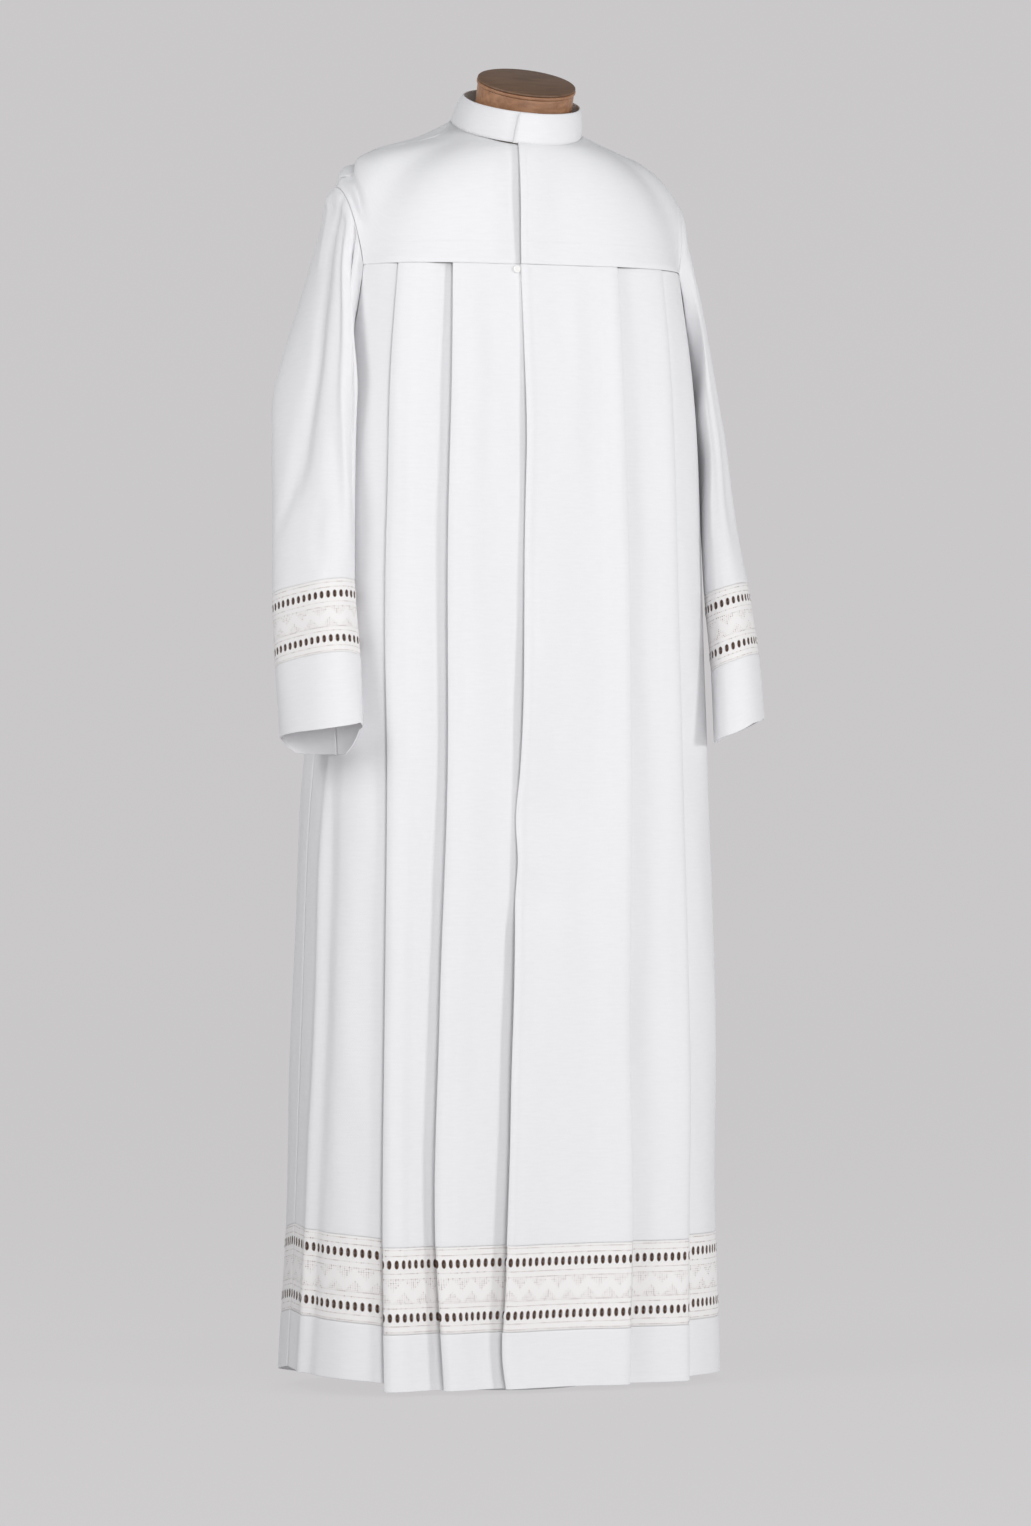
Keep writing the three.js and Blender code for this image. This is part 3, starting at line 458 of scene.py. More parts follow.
bodyCut = {
    "height": (8, 176, 430, 734, 838, 940, 1082, 1214, 1308),
    "halfWidth": (263, 256.5, 252, 238.5, 229.5, 225.5, 221.5, 212, 203.5),
    "front": (126, 127, 128, 130, 130.5, 131, 130.5, 129.5, 128),
    "back": (130, 131, 132, 133, 133, 133, 131, 129, 127),
    "shift": (-6, -4, 0, 2, 6.5, 8.5, 7, 4, 0),
    "squareness": 3,
    "seamHeight": 1308,
    "hemHeight": 6,
    "hemTop": 71.5,
    "laceTop": 172,
    "thickness": 0.8,
    "hemThickness": 1.28,                # the hem is double
    "middle": (0, 0, 700),
    "calmTop": (1308, 1180),             # the cloth is calmer near the yoke, and beside its side seams
    "calmSide": 45,
    "calm": 0.4,
}
frontFolds = {
    "height": (8, 180, 434, 733, 1010, 1184, 1308),
    "outerRight": (-188, -189, -186, -182, -179, -174, -166),
    "innerRight": (-121, -131, -126, -116, -115, -110, -108),
    "innerLeft": (106, 110, 107, 108, 104, 98, 93),
    "outerLeft": (185, 186, 186, 177, 169, 164, 156),
}
frontEdge = {            # the free edge of the overlap, from the collar's line down to the hem
    "height": (5, 37, 120, 200, 293, 362, 478, 545, 571, 617, 664, 722, 803, 905, 977, 1047, 1099, 1221, 1308),
    "x": (-48, -52, -50, -47, -43.5, -42, -38.5, -37, -36, -33.5, -35.3, -31, -27.5, -25.5, -25, -23.6, -22.5,
          -24.8, -27.5),
    "lift": (13, 12, 14, 14, 13, 12.5, 12, 10, 7, 8, 5, 8, 10, 8, 7, 7, 8, 5, 3.0),
    "width": 26,
    "fade": 62,
    "stitches": 16.5,
}
backFolds = {"height": (8, 1308), "outer": (186, 160), "inner": (112, 98)}
pleatCut = {
    "height": (5, 200, 600, 1000, 1240, 1308),
    "layer": (6.0, 5.2, 4.2, 3.4, 2.6, 1.5),
    "depth": (20, 19, 18, 17, 16, 16),
    "bend": 1.1,
    "lie": 0.9,          # how high the cloth lies between two pleats, by one layer's height
    "clear": 12,         # how far beside a pleat the plain side begins
}
hemRise = {"rightPleat": 11, "rightSide": 22, "leftPleat": 4, "leftSide": 4, "fadeTop": 434}
seam = {"depth": 0.6, "side": 0.5, "reach": 1.5, "gap": 0.3, "inset": 0.15, "near": (0.7, 1.6, 3)}


def sectionAt(height):
    half, front, back, shift = (cutAt(bodyCut, name, height) for name in ("halfWidth", "front", "back", "shift"))
    power = bodyCut["squareness"]
    turns = np.linspace(-90, 270, 2881)
    cos, sin = turned(turns)
    u, v, depth = signedPower(sin, 2 / power), signedPower(cos, 2 / power), np.where(cos >= 0, front, back)
    place = np.stack([shift + half * u, -depth * v], axis=1)
    normal = unit(np.stack([signedPower(u, power - 1) / half, -signedPower(v, power - 1) / depth], axis=1))
    arc, quarter = distances(place), len(turns) // 4
    return {"place": place, "normal": normal, "arc": arc, "front": arc[quarter], "left": arc[2 * quarter],
            "end": arc[-1], "half": 2 * quarter}


def onSection(section, name, arc):
    return [np.interp(arc, section["arc"], section[name][:, i]) for i in range(2)]


def arcAtX(section, x, atBack=False):
    half = section["half"]
    if atBack:
        return np.interp(-x, -section["place"][half:, 0], section["arc"][half:])
    return np.interp(x, section["place"][:half + 1, 0], section["arc"][:half + 1])


# Every key below is a point of a pleated row: along, out, rise, and the points up to the next key.


def pleatKeys(arc, inward, height, rise):
    layer, depth = (cutAt(pleatCut, name, height) for name in ("layer", "depth"))
    bend = pleatCut["bend"]
    shape = [
        (depth - layer / 2, 0, 0.5, 3), (depth, layer / 2, 0.5, 3), (depth - layer / 2, layer, 0.5, 5),
        (bend, layer * 1.35, 0, 3), (0, layer * 1.5, 0, 3), (bend, layer * 1.7, 0, 5),
        (depth + 2, layer * 1.75, 0, 12),
    ]
    keys = [(arc + inward * along, out, rise * lifted, count) for along, out, lifted, count in shape]
    if inward < 0:
        counts = [key[3] for key in keys[:-1]][::-1] + [12]
        keys = [(*key[:3], count) for key, count in zip(keys[::-1], counts)]
    return keys


def lyingKey(start, end, layer, count=8):
    return (start + end) / 2, layer * pleatCut["lie"], 0, count


def sideKeys(start, end, riseStart, riseEnd):
    return [(mix(start, end, share), 0, mix(riseStart, riseEnd, share), 7) for share in np.linspace(0, 1, 6)]


def frontKeys(height, section, names):
    edge = arcAtX(section, cutAt(frontEdge, "x", height))
    return edge, cutAt(pleatCut, "layer", height), *(arcAtX(section, cutAt(frontFolds, name, height))
                                                    for name in names)


def frontRightKeys(height, section):
    last, layer, outer, inner = frontKeys(height, section, ("outerRight", "innerRight"))
    return [
        *sideKeys(seam["inset"], outer - pleatCut["clear"], hemRise["rightSide"], hemRise["rightPleat"]),
        *pleatKeys(outer, 1, height, hemRise["rightPleat"]),
        lyingKey(outer, inner, layer),
        *pleatKeys(inner, 1, height, 0),
        ((inner + last) / 2 + 4, layer * 0.8, 0, 8),
        (last - 10, 0.5, 0, 6),
        (last + frontEdge["width"], 0, 0, 1),
    ]


def frontLeftKeys(height, section):
    edge, layer, inner, outer = frontKeys(height, section, ("innerLeft", "outerLeft"))
    lift = cutAt(frontEdge, "lift", height)
    return [
        (edge + 7, lift - 3.0, 0, 4),                    # the edge is turned under
        (edge + 1.0, lift - 1.8, 0, 3),
        (edge, lift - 0.6, 0, 3),
        (edge + 1.4, lift + 0.5, 0, 5),
        (edge + 13, lift + 0.4, 0, 5),
        (edge + frontEdge["width"] + 3, lift * 0.8 + 0.5, 0, 6),
        (edge + frontEdge["fade"], lift * 0.45 + 0.5, 0, 8),
        lyingKey(edge + frontEdge["fade"], inner, layer),
        *pleatKeys(inner, -1, height, 0),
        lyingKey(inner, outer, layer),
        *pleatKeys(outer, -1, height, hemRise["leftPleat"]),
        *sideKeys(outer + pleatCut["clear"], section["left"] - seam["inset"], hemRise["leftPleat"],
                  hemRise["leftSide"]),
    ]


def backKeys(height, section):
    outer, inner = (cutAt(backFolds, name, height) for name in ("outer", "inner"))
    layer, clear = cutAt(pleatCut, "layer", height), pleatCut["clear"]
    arcs = [arcAtX(section, x, True) for x in (outer, inner, -inner, -outer)]
    keys = sideKeys(section["left"] + seam["inset"], arcs[0] - clear, hemRise["leftSide"], 0)
    for index, (arc, inward) in enumerate(zip(arcs, (1, 1, -1, -1))):
        keys += pleatKeys(arc, inward, height, 0)
        if index < 3:
            keys.append(lyingKey(arc, arcs[index + 1], layer, 10))
    return keys + sideKeys(arcs[3] + clear, section["end"] - seam["inset"], 0, hemRise["rightSide"])


# Where each soft trough or ridge of the hanging cloth runs: its top and foot, its distances round the
# body from the middle of the front, its width, and how far it stands out.
bodyCreases = {
    "top": (1300, 1302, 1296, 1290, 1250, 1180, 1240, 1290, 700, 980, 1300, 760, 520, 790, 790),
    "foot": (1080, 1010, 1120, 860, 560, 120, 200, 930, 60, 300, 1050, 160, 40, -220, -220),
    "atTop": (-150, -70, 40, 130, -92, -240, 62, 205, 22, 150, 70, -150, 95, -266, -253),
    "atFoot": (-146, -76, 34, 138, -86, -244, 70, 212, 30, 158, 76, -158, 88, -302, -288),
    "width": (9, 12, 10, 12, 22, 20, 24, 14, 26, 16, 9, 16, 24, 7, 12),
    "out": (-0.8, -0.9, 0.8, -0.9, 1.4, 1.6, -1.4, 1.2, 1.6, 1.4, -0.8, -1.3, -1.6, 5.0, -4.0),
}


creaseShape = {"rise": (-0.02, 0.22), "fall": (0.72, 1.02), "wander": 0.25, "bends": 7}
drift = {                # slow unevenness of hanging cloth: the width, height and size of its waves
    "wide": (62, 97, 151, 41, 233),
    "tall": (520, 310, 700, 190, 430),
    "size": (0.30, 0.35, 0.45, 0.14, 0.40),
}


def creaseOut(creases, along, height):
    total = 0
    for top, foot, atTop, atFoot, width, out in zip(*creases.values()):
        share = (top - height) / (top - foot)
        middle = mix(atTop, atFoot, np.clip(share, 0, 1))
        middle = middle + width * creaseShape["wander"] * np.sin(share * creaseShape["bends"] + atTop)
        ends = fadeEnds(share, creaseShape["rise"], creaseShape["fall"])
        total = total + out * ends * bell(along - middle, width)
    return total


def softDrift(along, height, seed=0.0):
    total = 0
    for index, (wide, tall, size) in enumerate(zip(*drift.values())):
        lean = 1 if index % 2 else -1
        total = total + size * np.sin(2 * math.pi * (along / wide + lean * height / tall) + 1.7 * index + seed)
    return total


def pleatedLine(keysAt, height):
    section = sectionAt(height)
    keys = keysAt(height, section)
    arcs, outs, rises = (np.array([key[i] for key in keys], float) for i in range(3))
    run = np.concatenate([[0], np.cumsum(np.hypot(np.diff(arcs), np.diff(outs)) + 1e-6)])
    samples = np.concatenate([np.linspace(run[i], run[i + 1], keys[i][3], endpoint=False)
                              for i in range(len(keys) - 1)] + [run[-1:]])
    arc, out = curveAt(run, arcs, samples), curveAt(run, outs, samples)
    along = arc - section["front"]
    hang = smoothStep(*bodyCut["calmTop"], height)
    beside = np.minimum(np.abs(arc - section["left"]), np.minimum(arc, section["end"] - arc))
    relief = creaseOut(bodyCreases, along, height) + softDrift(along, height) * mix(bodyCut["calm"], 1, hang)
    out = out + relief * smoothStep(0, bodyCut["calmSide"], beside) - seam["side"] * bell(beside, seam["reach"])
    for place in (bodyCut["hemTop"], bodyCut["laceTop"], bodyCut["seamHeight"]):
        out = out - seam["depth"] * bell(height - place, seam["reach"])
    normal = unit(np.stack(onSection(section, "normal", arc), axis=1))
    plan = np.stack(onSection(section, "place", arc), axis=1) + out[:, None] * normal
    fade = 1 - smoothStep(bodyCut["laceTop"], hemRise["fadeTop"], height)
    return np.column_stack([plan, height + np.interp(samples, run, rises) * fade])


def levelsBetween(low, high, step):            # closer together beside the seams
    count = max(2, int(round((high - low) / step)) + 1)
    near = [end for away in seam["near"] for end in (low + away, high - away)]
    return np.unique(np.round(np.concatenate([np.linspace(low, high, count), near]), 3))


armhole = {"halfDepth": 60, "rise": 94, "drop": 120, "topX": 210, "keep": 1000, "from": 150}


def scoopArmhole(grid):                        # draws the rows above "keep" down under the armhole
    high, keep = grid[-1, :, 2].copy(), armhole["keep"]
    for column in range(grid.shape[1]):
        x, y = grid[-1, column, :2]
        if abs(x) < armhole["from"] or abs(y) >= armhole["halfDepth"]:
            continue
        scoop = armhole["drop"] * math.sqrt(1 - (y / armhole["halfDepth"]) ** 2)
        old = grid[:, column, 2].copy()
        lowered = keep + (old - keep) * (high[column] - scoop - keep) / (high[column] - keep)
        new = np.where(old > keep, lowered, old)
        for axis in range(2):
            grid[:, column, axis] = np.interp(new, old, grid[:, column, axis])
        grid[:, column, 2] = new
    return grid


def eyeletRing(wide, tall):              # a pointed oval, from its lower left corner round
    cos, sin = turned(np.arange(16) * 22.5 - 135)
    return np.stack([wide * signedPower(cos, laceCut["pointed"]), tall * sin], axis=1)


def laceRows(scale, height):             # the levels of the plain rows, and which spans hold eyelets
    low, high = (middle * scale for middle in laceCut["eyelets"])
    cell = laceCut["cell"] * scale
    bands = ((0, low - cell, 4), (low - cell, low + cell, 4), (low + cell, high - cell, 6),
             (high - cell, high + cell, 4), (high + cell, height, 4))
    levels = [start + (end - start) * step / count for start, end, count in bands for step in range(count)]
    return np.array(levels + [height]), (4, 14)


def laceFlat(width, height, scale):      # flat points as along, up and out, with a hole for each eyelet
    count = int(round(width / (laceCut["pitch"] * scale)))
    step = width / count
    levels, eyeletRows = laceRows(scale, height)
    grid = np.stack(np.meshgrid(np.linspace(0, width, count * 4 + 1), levels), axis=-1)
    rows, columns = grid.shape[:2]
    total = rows * columns
    index = np.arange(total).reshape(rows, columns)
    points = [np.column_stack([grid.reshape(-1, 2), np.zeros(total)])]
    faces = [face for face in gridFaces(rows, columns) if not any(
        first * columns <= face[0] < (first + 4) * columns for first in eyeletRows)]
    for row, middle in zip(eyeletRows, laceCut["eyelets"]):
        for cell in range(count):
            block = index[row:row + 5, cell * 4:cell * 4 + 5]
            ring = [*block[0, :4], *block[:4, 4], *block[4, :0:-1], *block[:0:-1, 0]]
            for wide, tall, out in laceCut["rims"]:
                oval = eyeletRing(laceCut["wide"] * wide * scale, laceCut["tall"] * tall * scale)
                points.append(np.column_stack([oval + ((cell + 0.5) * step, middle * scale), np.full(16, out)]))
                inner = list(range(total, total + 16))
                faces += [[ring[i], ring[(i + 1) % 16], inner[(i + 1) % 16], inner[i]] for i in range(16)]
                ring, total = inner, total + 16
            faces += [[ring[i], ring[i + 1], ring[11 - i], ring[12 - i]] for i in range(4)]    # faces across it, standing for threads, that carry the eyelet's painted shade
    return np.concatenate(points), faces, laceCut["pitch"] * scale / step


def onGrid(grid, rowAt, columnAt):       # the point at a fraction of a row and a column
    row = np.clip(np.floor(rowAt).astype(int), 0, grid.shape[0] - 2)
    column = np.clip(np.floor(columnAt).astype(int), 0, grid.shape[1] - 2)
    up, over = (rowAt - row)[:, None], (columnAt - column)[:, None]
    low = mix(grid[row, column], grid[row, column + 1], over)
    return mix(low, mix(grid[row + 1, column], grid[row + 1, column + 1], over), up)


def makeLaceBand(name, node, material, grid, levels, scale, middle):
    run, height = distances(grid, axis=1), levels[-1] - levels[0]
    flat, faces, stretch = laceFlat(run[-1], height, scale)
    at = (np.interp(flat[:, 1], levels - levels[0], np.arange(len(levels))),
          np.interp(flat[:, 0], run, np.arange(len(run))))
    points = onGrid(grid, *at) + onGrid(gridNormals(grid, middle), *at) * flat[:, 2:]
    piece = meshObject(name, points, faces, flat[:, :2] * (stretch, 1))
    area = thicken(piece, laceCut["thickness"], middle)
    finishCloth(piece, node, area, material)


def makeSide(side, keysAt):   # one panel from the yoke down: cloth, lace and hem
    gap, middle = seam["gap"] / 2, bodyCut["middle"]
    bands = {
        "skirt": (bodyCut["laceTop"] + gap, bodyCut["seamHeight"] - gap, 10),
        "lace": (bodyCut["hemTop"] + gap, bodyCut["laceTop"] - gap, 8),
        "hem": (bodyCut["hemHeight"], bodyCut["hemTop"] - gap, 8),
    }
    for band, (low, high, step) in bands.items():
        levels = levelsBetween(low, high, step)
        grid = np.array([pleatedLine(keysAt, height) for height in levels])
        node = f"{band}_{side}"
        if band == "lace":
            makeLaceBand(f"hemLace_{side}", node, "hemLace", grid, levels, 1.0, middle)
            continue
        if band == "skirt":
            grid = scoopArmhole(grid)
        across = distances(grid, axis=1)
        makeSheet(f"{band}Cloth_{side}", node, grid, gridUvs(across, grid[:, :, 2]),
                  bodyCut["thickness" if band == "skirt" else "hemThickness"], middle)
        if node == "skirt_front_left":         # stitches beside the overlap's free edge
            column = int(np.searchsorted(across, frontEdge["stitches"]))
            sewOn(grid, middle, np.s_[:, column], bodyCut["thickness"] / 2)


makeSide("front_right", frontRightKeys)
makeSide("front_left", frontLeftKeys)
makeSide("back", backKeys)


collarCut = {            # the lower and upper rims are tilted ovals
    "x": (5, 8.5),
    "y": (-24, -35),
    "z": (1475.5, 1508),
    "halfWidth": (75, 67.5),
    "halfDepth": (93, 83),
    "tilt": (17, 16),
    "thickness": 2.0,
    "bulge": 1.5,
    "underTurn": -6,
    "tabTurn": -26,
    "lift": 2.9,         # the tab lies over the other end, from these turns before its end
    "liftFrom": (40, 4),
    "rounding": (2.2, 3, 0.6),     # turns over which the tab and the under end are rounded, and a start
    "waves": ((0.35, 5, 0), (0.25, 9, 40)),      # how unevenly it stands: size, number, and first turn
    "rim": (0.985, 0.10),          # where the rim is, by its share of the depth, and its dip at the ends
    "stitches": {"share": 0.10, "ends": 3, "out": 0.05},
    "flat": (42, 38),    # its depth along its seam, and its mean depth
    "middle": (4, -30, 1400),
}


collarLoop = (           # its section, up the outside and down the inside: shares of its depth, and ways out
    (0.012, 0.03, 0.15, 0.3, 0.5, 0.7, 0.85, 0.965, 0.99, 1.0, 0.99, 0.965, 0.7, 0.4, 0.15, 0.03, 0.012, 0),
    (0.55, 1, 1, 1, 1, 1, 1, 1, 0.7, 0, -0.7, -1, -1, -1, -1, -1, -0.55, 0),
)


def rimPoint(share, turns, out=0.0):
    rim = {name: mix(*collarCut[name], share) for name in ("x", "y", "z", "halfWidth", "halfDepth", "tilt")}
    cos, sin = turned(turns)
    leanCos, leanSin = turned(rim["tilt"])
    across, deep = (rim["halfWidth"] + out) * sin, -(rim["halfDepth"] + out) * cos
    return np.stack(np.broadcast_arrays(
        rim["x"] + across, rim["y"] + deep * leanCos, rim["z"] + deep * leanSin), axis=-1)


def makeCollar():
    start, end = collarCut["underTurn"], collarCut["tabTurn"] - 360
    turns = np.linspace(start, end, 181)
    wave = sum(size * np.sin(np.radians(turns * waves + first)) for size, waves, first in collarCut["waves"])
    lift = collarCut["lift"] * smoothStep(*collarCut["liftFrom"], turns - end) + wave
    tab, under, least = collarCut["rounding"]
    rounds = np.minimum((turns - end) / tab, (start - turns) / under + least)
    high = collarCut["rim"][0] - collarCut["rim"][1] * np.clip(1 - rounds, 0, 1) ** 2
    half = collarCut["thickness"] / 2
    loops = []
    for share, out in zip(*collarLoop):
        bulge = collarCut["bulge"] * np.sin(math.pi * share)
        swell = (np.clip(rounds, 0.25, 1) if out else 1) * out
        loops.append(rimPoint(share * high, turns, lift + bulge + half * (swell - 1)))
    grid, count = np.array(loops), len(loops)
    caps = [list(range(count))[::-1], [count * (len(turns) - 1) + i for i in range(count)]]
    along = distances(rimPoint(0.5, turns))
    piece = meshObject("collarBand", grid.transpose(1, 0, 2).reshape(-1, 3),
                       gridFaces(len(turns), count, around=True) + caps,
                       gridUvs(along[:, None], distances(grid[:, 90])[None, :]))
    faceOutward(piece)
    piece.data.shade_smooth()
    long, deep = collarCut["flat"]
    area = along[-1] * deep * mm * mm
    finishCloth(piece, "collar_band", area)
    outer, sewing = grid[:7], collarCut["stitches"]
    normals = gridNormals(outer, collarCut["middle"])
    inner = slice(sewing["ends"], -sewing["ends"])
    for row in (1, 6):                         # stitches beside the lower and the upper edge
        line = mix(outer[row], outer[3], sewing["share"])
        sew(line[inner] + normals[row, inner] * sewing["out"], normals[row, inner])
    column = int(np.argmin(np.abs(turns - end - sewing["ends"])))
    sewOn(outer, collarCut["middle"], np.s_[1:, column], sewing["out"])


yokeCut = {
    "neckInset": 1,
    "over": 28,          # the overlap's edge, to the wearer's right of the middle
    "reach": 0.85,       # a strip's corner lies this share of the way out from the neck
    "slope": 0.31,
    "sagTurn": 100,      # how far the shoulder line sags, by its share of the way out from the neck
    "sagSpread": (35, 55),
    "sagShare": (0, 0.1, 0.2, 0.33, 0.5, 0.66, 0.8, 1),
    "sag": {"right": (0, 3.5, 4.5, 3.2, 0.2, -2, -1, 0), "left": (0, 3, 4.6, 5, 3.6, 0.4, 0, 0)},
    "ridge": {"right": 5, "left": 0.3},      # how far the shoulder line is pinched up
    "ridgeSpread": 12,
    "cornerTurn": 65,
    "thickness": 0.8,
    "rise": 1.3,         # the seam lies on the pleats' heads
    "riseFade": 46,
    "allowance": 12,     # seam allowance pressed up under the yoke
    "allowanceOut": 0.5,
    "rows": 44,
    "seamEnds": (45, 40),    # the seam ends this far inside the armhole, and this far from the middle plane
    "drift": 0.35,
    "fall": 1.12,        # the longest strip's length, by the mean one's
    "stitches": {"row": 7, "beside": 7.0, "out": 0.4},
    "armholeGap": 0.2,
    "overlap": {"right": (-27, -4, 12), "left": (-28, 27, 30)},      # X from and to, and how many points
    "counts": {"front": 70, "back": 120, "armhole": 34},
    "eases": 70,
    "hold": (0.12, 0.06),    # the rows near the neck and near the edge that easing leaves in place
    "middle": (0, 0, 1250),
}
seamSection = sectionAt(bodyCut["seamHeight"])
leftQuarter = seamSection["place"][seamSection["half"] // 2:seamSection["half"] + 1]
armholeX = float(np.interp(-armhole["halfDepth"], leftQuarter[:, 1], leftQuarter[:, 0]))
straightTurn = math.degrees(math.asin(yokeCut["over"] / collarCut["halfWidth"][0]))
yokeShares = np.concatenate([[1, 0.996, 0.99, 0.98], np.linspace(0.965, 0.0, yokeCut["rows"])])


def reachAt(y, height):                        # how far the body's section reaches out at a given Y
    half, front, back = (cutAt(bodyCut, name, height) for name in ("halfWidth", "front", "back"))
    share = np.abs(y) / np.where(y < 0, front, back)
    return half * (1 - share ** bodyCut["squareness"]) ** (1 / bodyCut["squareness"])


def armholePoints(angles, side):               # 0 front, 90 top, 180 back, 270 underarm
    cos, sin = turned(angles)
    y = -armhole["halfDepth"] * cos
    z = bodyCut["seamHeight"] + np.where(sin >= 0, armhole["rise"], armhole["drop"]) * sin
    above = side * mix(armholeX, armhole["topX"], np.clip(sin, 0, 1))
    below = cutAt(bodyCut, "shift", z) + side * reachAt(y, np.minimum(z, bodyCut["seamHeight"]))
    return np.stack([np.where(sin >= 0, above, below), y, z], axis=1)


def seamPoints(x, atBack):
    arc = arcAtX(seamSection, np.asarray(x, float), atBack)
    return np.column_stack([*onSection(seamSection, "place", arc), np.full(len(arc), bodyCut["seamHeight"])])


def neckTurns(x):
    size, over = np.abs(x), yokeCut["over"]
    straight = np.degrees(np.arcsin(np.clip(size / collarCut["halfWidth"][0], 0, 1)))
    fan = mix(straightTurn, yokeCut["cornerTurn"], (size - over) / (armholeX - over))
    return np.sign(x) * np.where(size <= over, straight, fan)


def yokeGrid(turns, edges):                    # rows from the outer edge up to the neck
    neck = rimPoint(0, turns, -yokeCut["neckInset"])
    plan, reach = edges[:, :2] - neck[:, :2], yokeCut["reach"]
    span = np.linalg.norm(plan, axis=1)
    corner = np.column_stack([neck[:, :2] + plan * reach, neck[:, 2] - span * reach * yokeCut["slope"]])
    share = yokeShares[:, None, None]
    size, onRight = np.abs((np.asarray(turns) + 180) % 360 - 180), edges[:, 0] < 0
    ridge = np.where(onRight, yokeCut["ridge"]["right"], yokeCut["ridge"]["left"])
    pull = 1 + ridge * bell(size - 90, yokeCut["ridgeSpread"])
    parts = (1 - share) ** 2, 2 * share * (1 - share) * pull[None, :, None], share ** 2
    grid = (parts[0] * neck + parts[1] * corner + parts[2] * edges) / sum(parts)
    wayOut = np.linalg.norm(grid[..., :2] - neck[:, :2], axis=2) / span
    near = bell(size - yokeCut["sagTurn"], np.where(size < yokeCut["sagTurn"], *yokeCut["sagSpread"]))
    for name, onSide in (("right", onRight), ("left", ~onRight)):
        grid[..., 2] -= curveAt(yokeCut["sagShare"], yokeCut["sag"][name], wayOut) * near * onSide
    outer, inner = yokeCut["hold"]
    hold = (smoothStep(0, outer, 1 - yokeShares) * smoothStep(0, inner, yokeShares))[:, None, None]
    for step in range(yokeCut["eases"]):                     # eases the strips' turn at the armhole's corner
        even = grid.copy()
        even[:, 1:-1] = (grid[:, :-2] + 2 * grid[:, 1:-1] + grid[:, 2:]) / 4
        grid = mix(grid, even, hold)
    return grid


yokeTuck = {             # a deep tuck over the tip of the right shoulder, with a ridge outside it
    "y": (-62, -40, -15, 20, 48),
    "height": (1352, 1389, 1413, 1440, 1448),
    "width": 9,
    "out": -10.0,
    "ridge": 4.5,
    "beside": 17,
    "ends": (-150, -172, 20),      # it starts between the first two, by X, and ends from the last, by Y
}


def yokeOut(grid, seed):                       # the relief of a yoke piece above its plain form
    x, y, height = grid[..., 0], grid[..., 1], grid[..., 2]
    above = height - bodyCut["seamHeight"]
    allowance, tuck = yokeCut["allowance"], yokeTuck
    inside, away = yokeCut["seamEnds"]
    atSeam = smoothStep(armholeX, armholeX - inside, np.abs(x)) * (np.abs(y) > away)
    out = atSeam * (yokeCut["rise"] * smoothStep(yokeCut["riseFade"], 0, above)
                    + yokeCut["allowanceOut"] * smoothStep(allowance + 1.5, allowance, above)
                    - seam["depth"] * bell(above, seam["reach"]))
    below = height - curveAt(tuck["y"], tuck["height"], y)
    ends = smoothStep(*tuck["ends"][:2], x) * smoothStep(*tuck["y"][:2], y)
    ends = ends * smoothStep(tuck["y"][-1], tuck["ends"][2], y)
    ends = ends * smoothStep(0, 0.07, 1 - yokeShares)[:, None]
    out = out + ends * (tuck["out"] * bell(below, tuck["width"])
                        + tuck["ridge"] * bell(below + tuck["beside"], tuck["width"]))
    return out + yokeCut["drift"] * softDrift(x * 1.3, height * 0.8, seed)


yokeEdge = {             # how the front edge of the overlap stands off, from the seam up to the collar
    "height": (1308, 1330, 1355, 1390, 1420, 1450),
    "lift": (2.8, 3.4, 4.2, 5.0, 3.6, 2.0),
    "fade": 50,
    "least": 0.6,
}
yokeUnder = {"out": -2.4, "x": (-62, -34), "height": (1476, 1440)}      # the edge that lies under it


def overlapLift(grid):
    fade = 1 - smoothStep(0, yokeEdge["fade"], grid[..., 0] + yokeCut["over"])
    return cutAt(yokeEdge, "lift", grid[..., 2]) * fade + yokeEdge["least"]


def tuckUnder(grid):
    across, up = smoothStep(*yokeUnder["x"], grid[..., 0]), smoothStep(*yokeUnder["height"], grid[..., 2])
    return yokeUnder["out"] * across * up


def makeYoke(side, turns, edges, seed, lift=None):
    grid = yokeGrid(turns, edges)
    out = yokeOut(grid, seed) + (lift(grid) if lift else 0)
    grid = grid + gridNormals(grid, yokeCut["middle"]) * out[..., None]
    across, up = distances(grid[::-1], axis=1), distances(grid, axis=0)
    makeSheet(f"yokeCloth_{side}", f"yoke_{side}", grid, gridUvs(across[None, :], up[:, None]),
              yokeCut["thickness"], yokeCut["middle"])
    return grid


def armholeEdges(angles, side):
    return armholePoints(angles, side) - (side * yokeCut["armholeGap"], 0, 0)


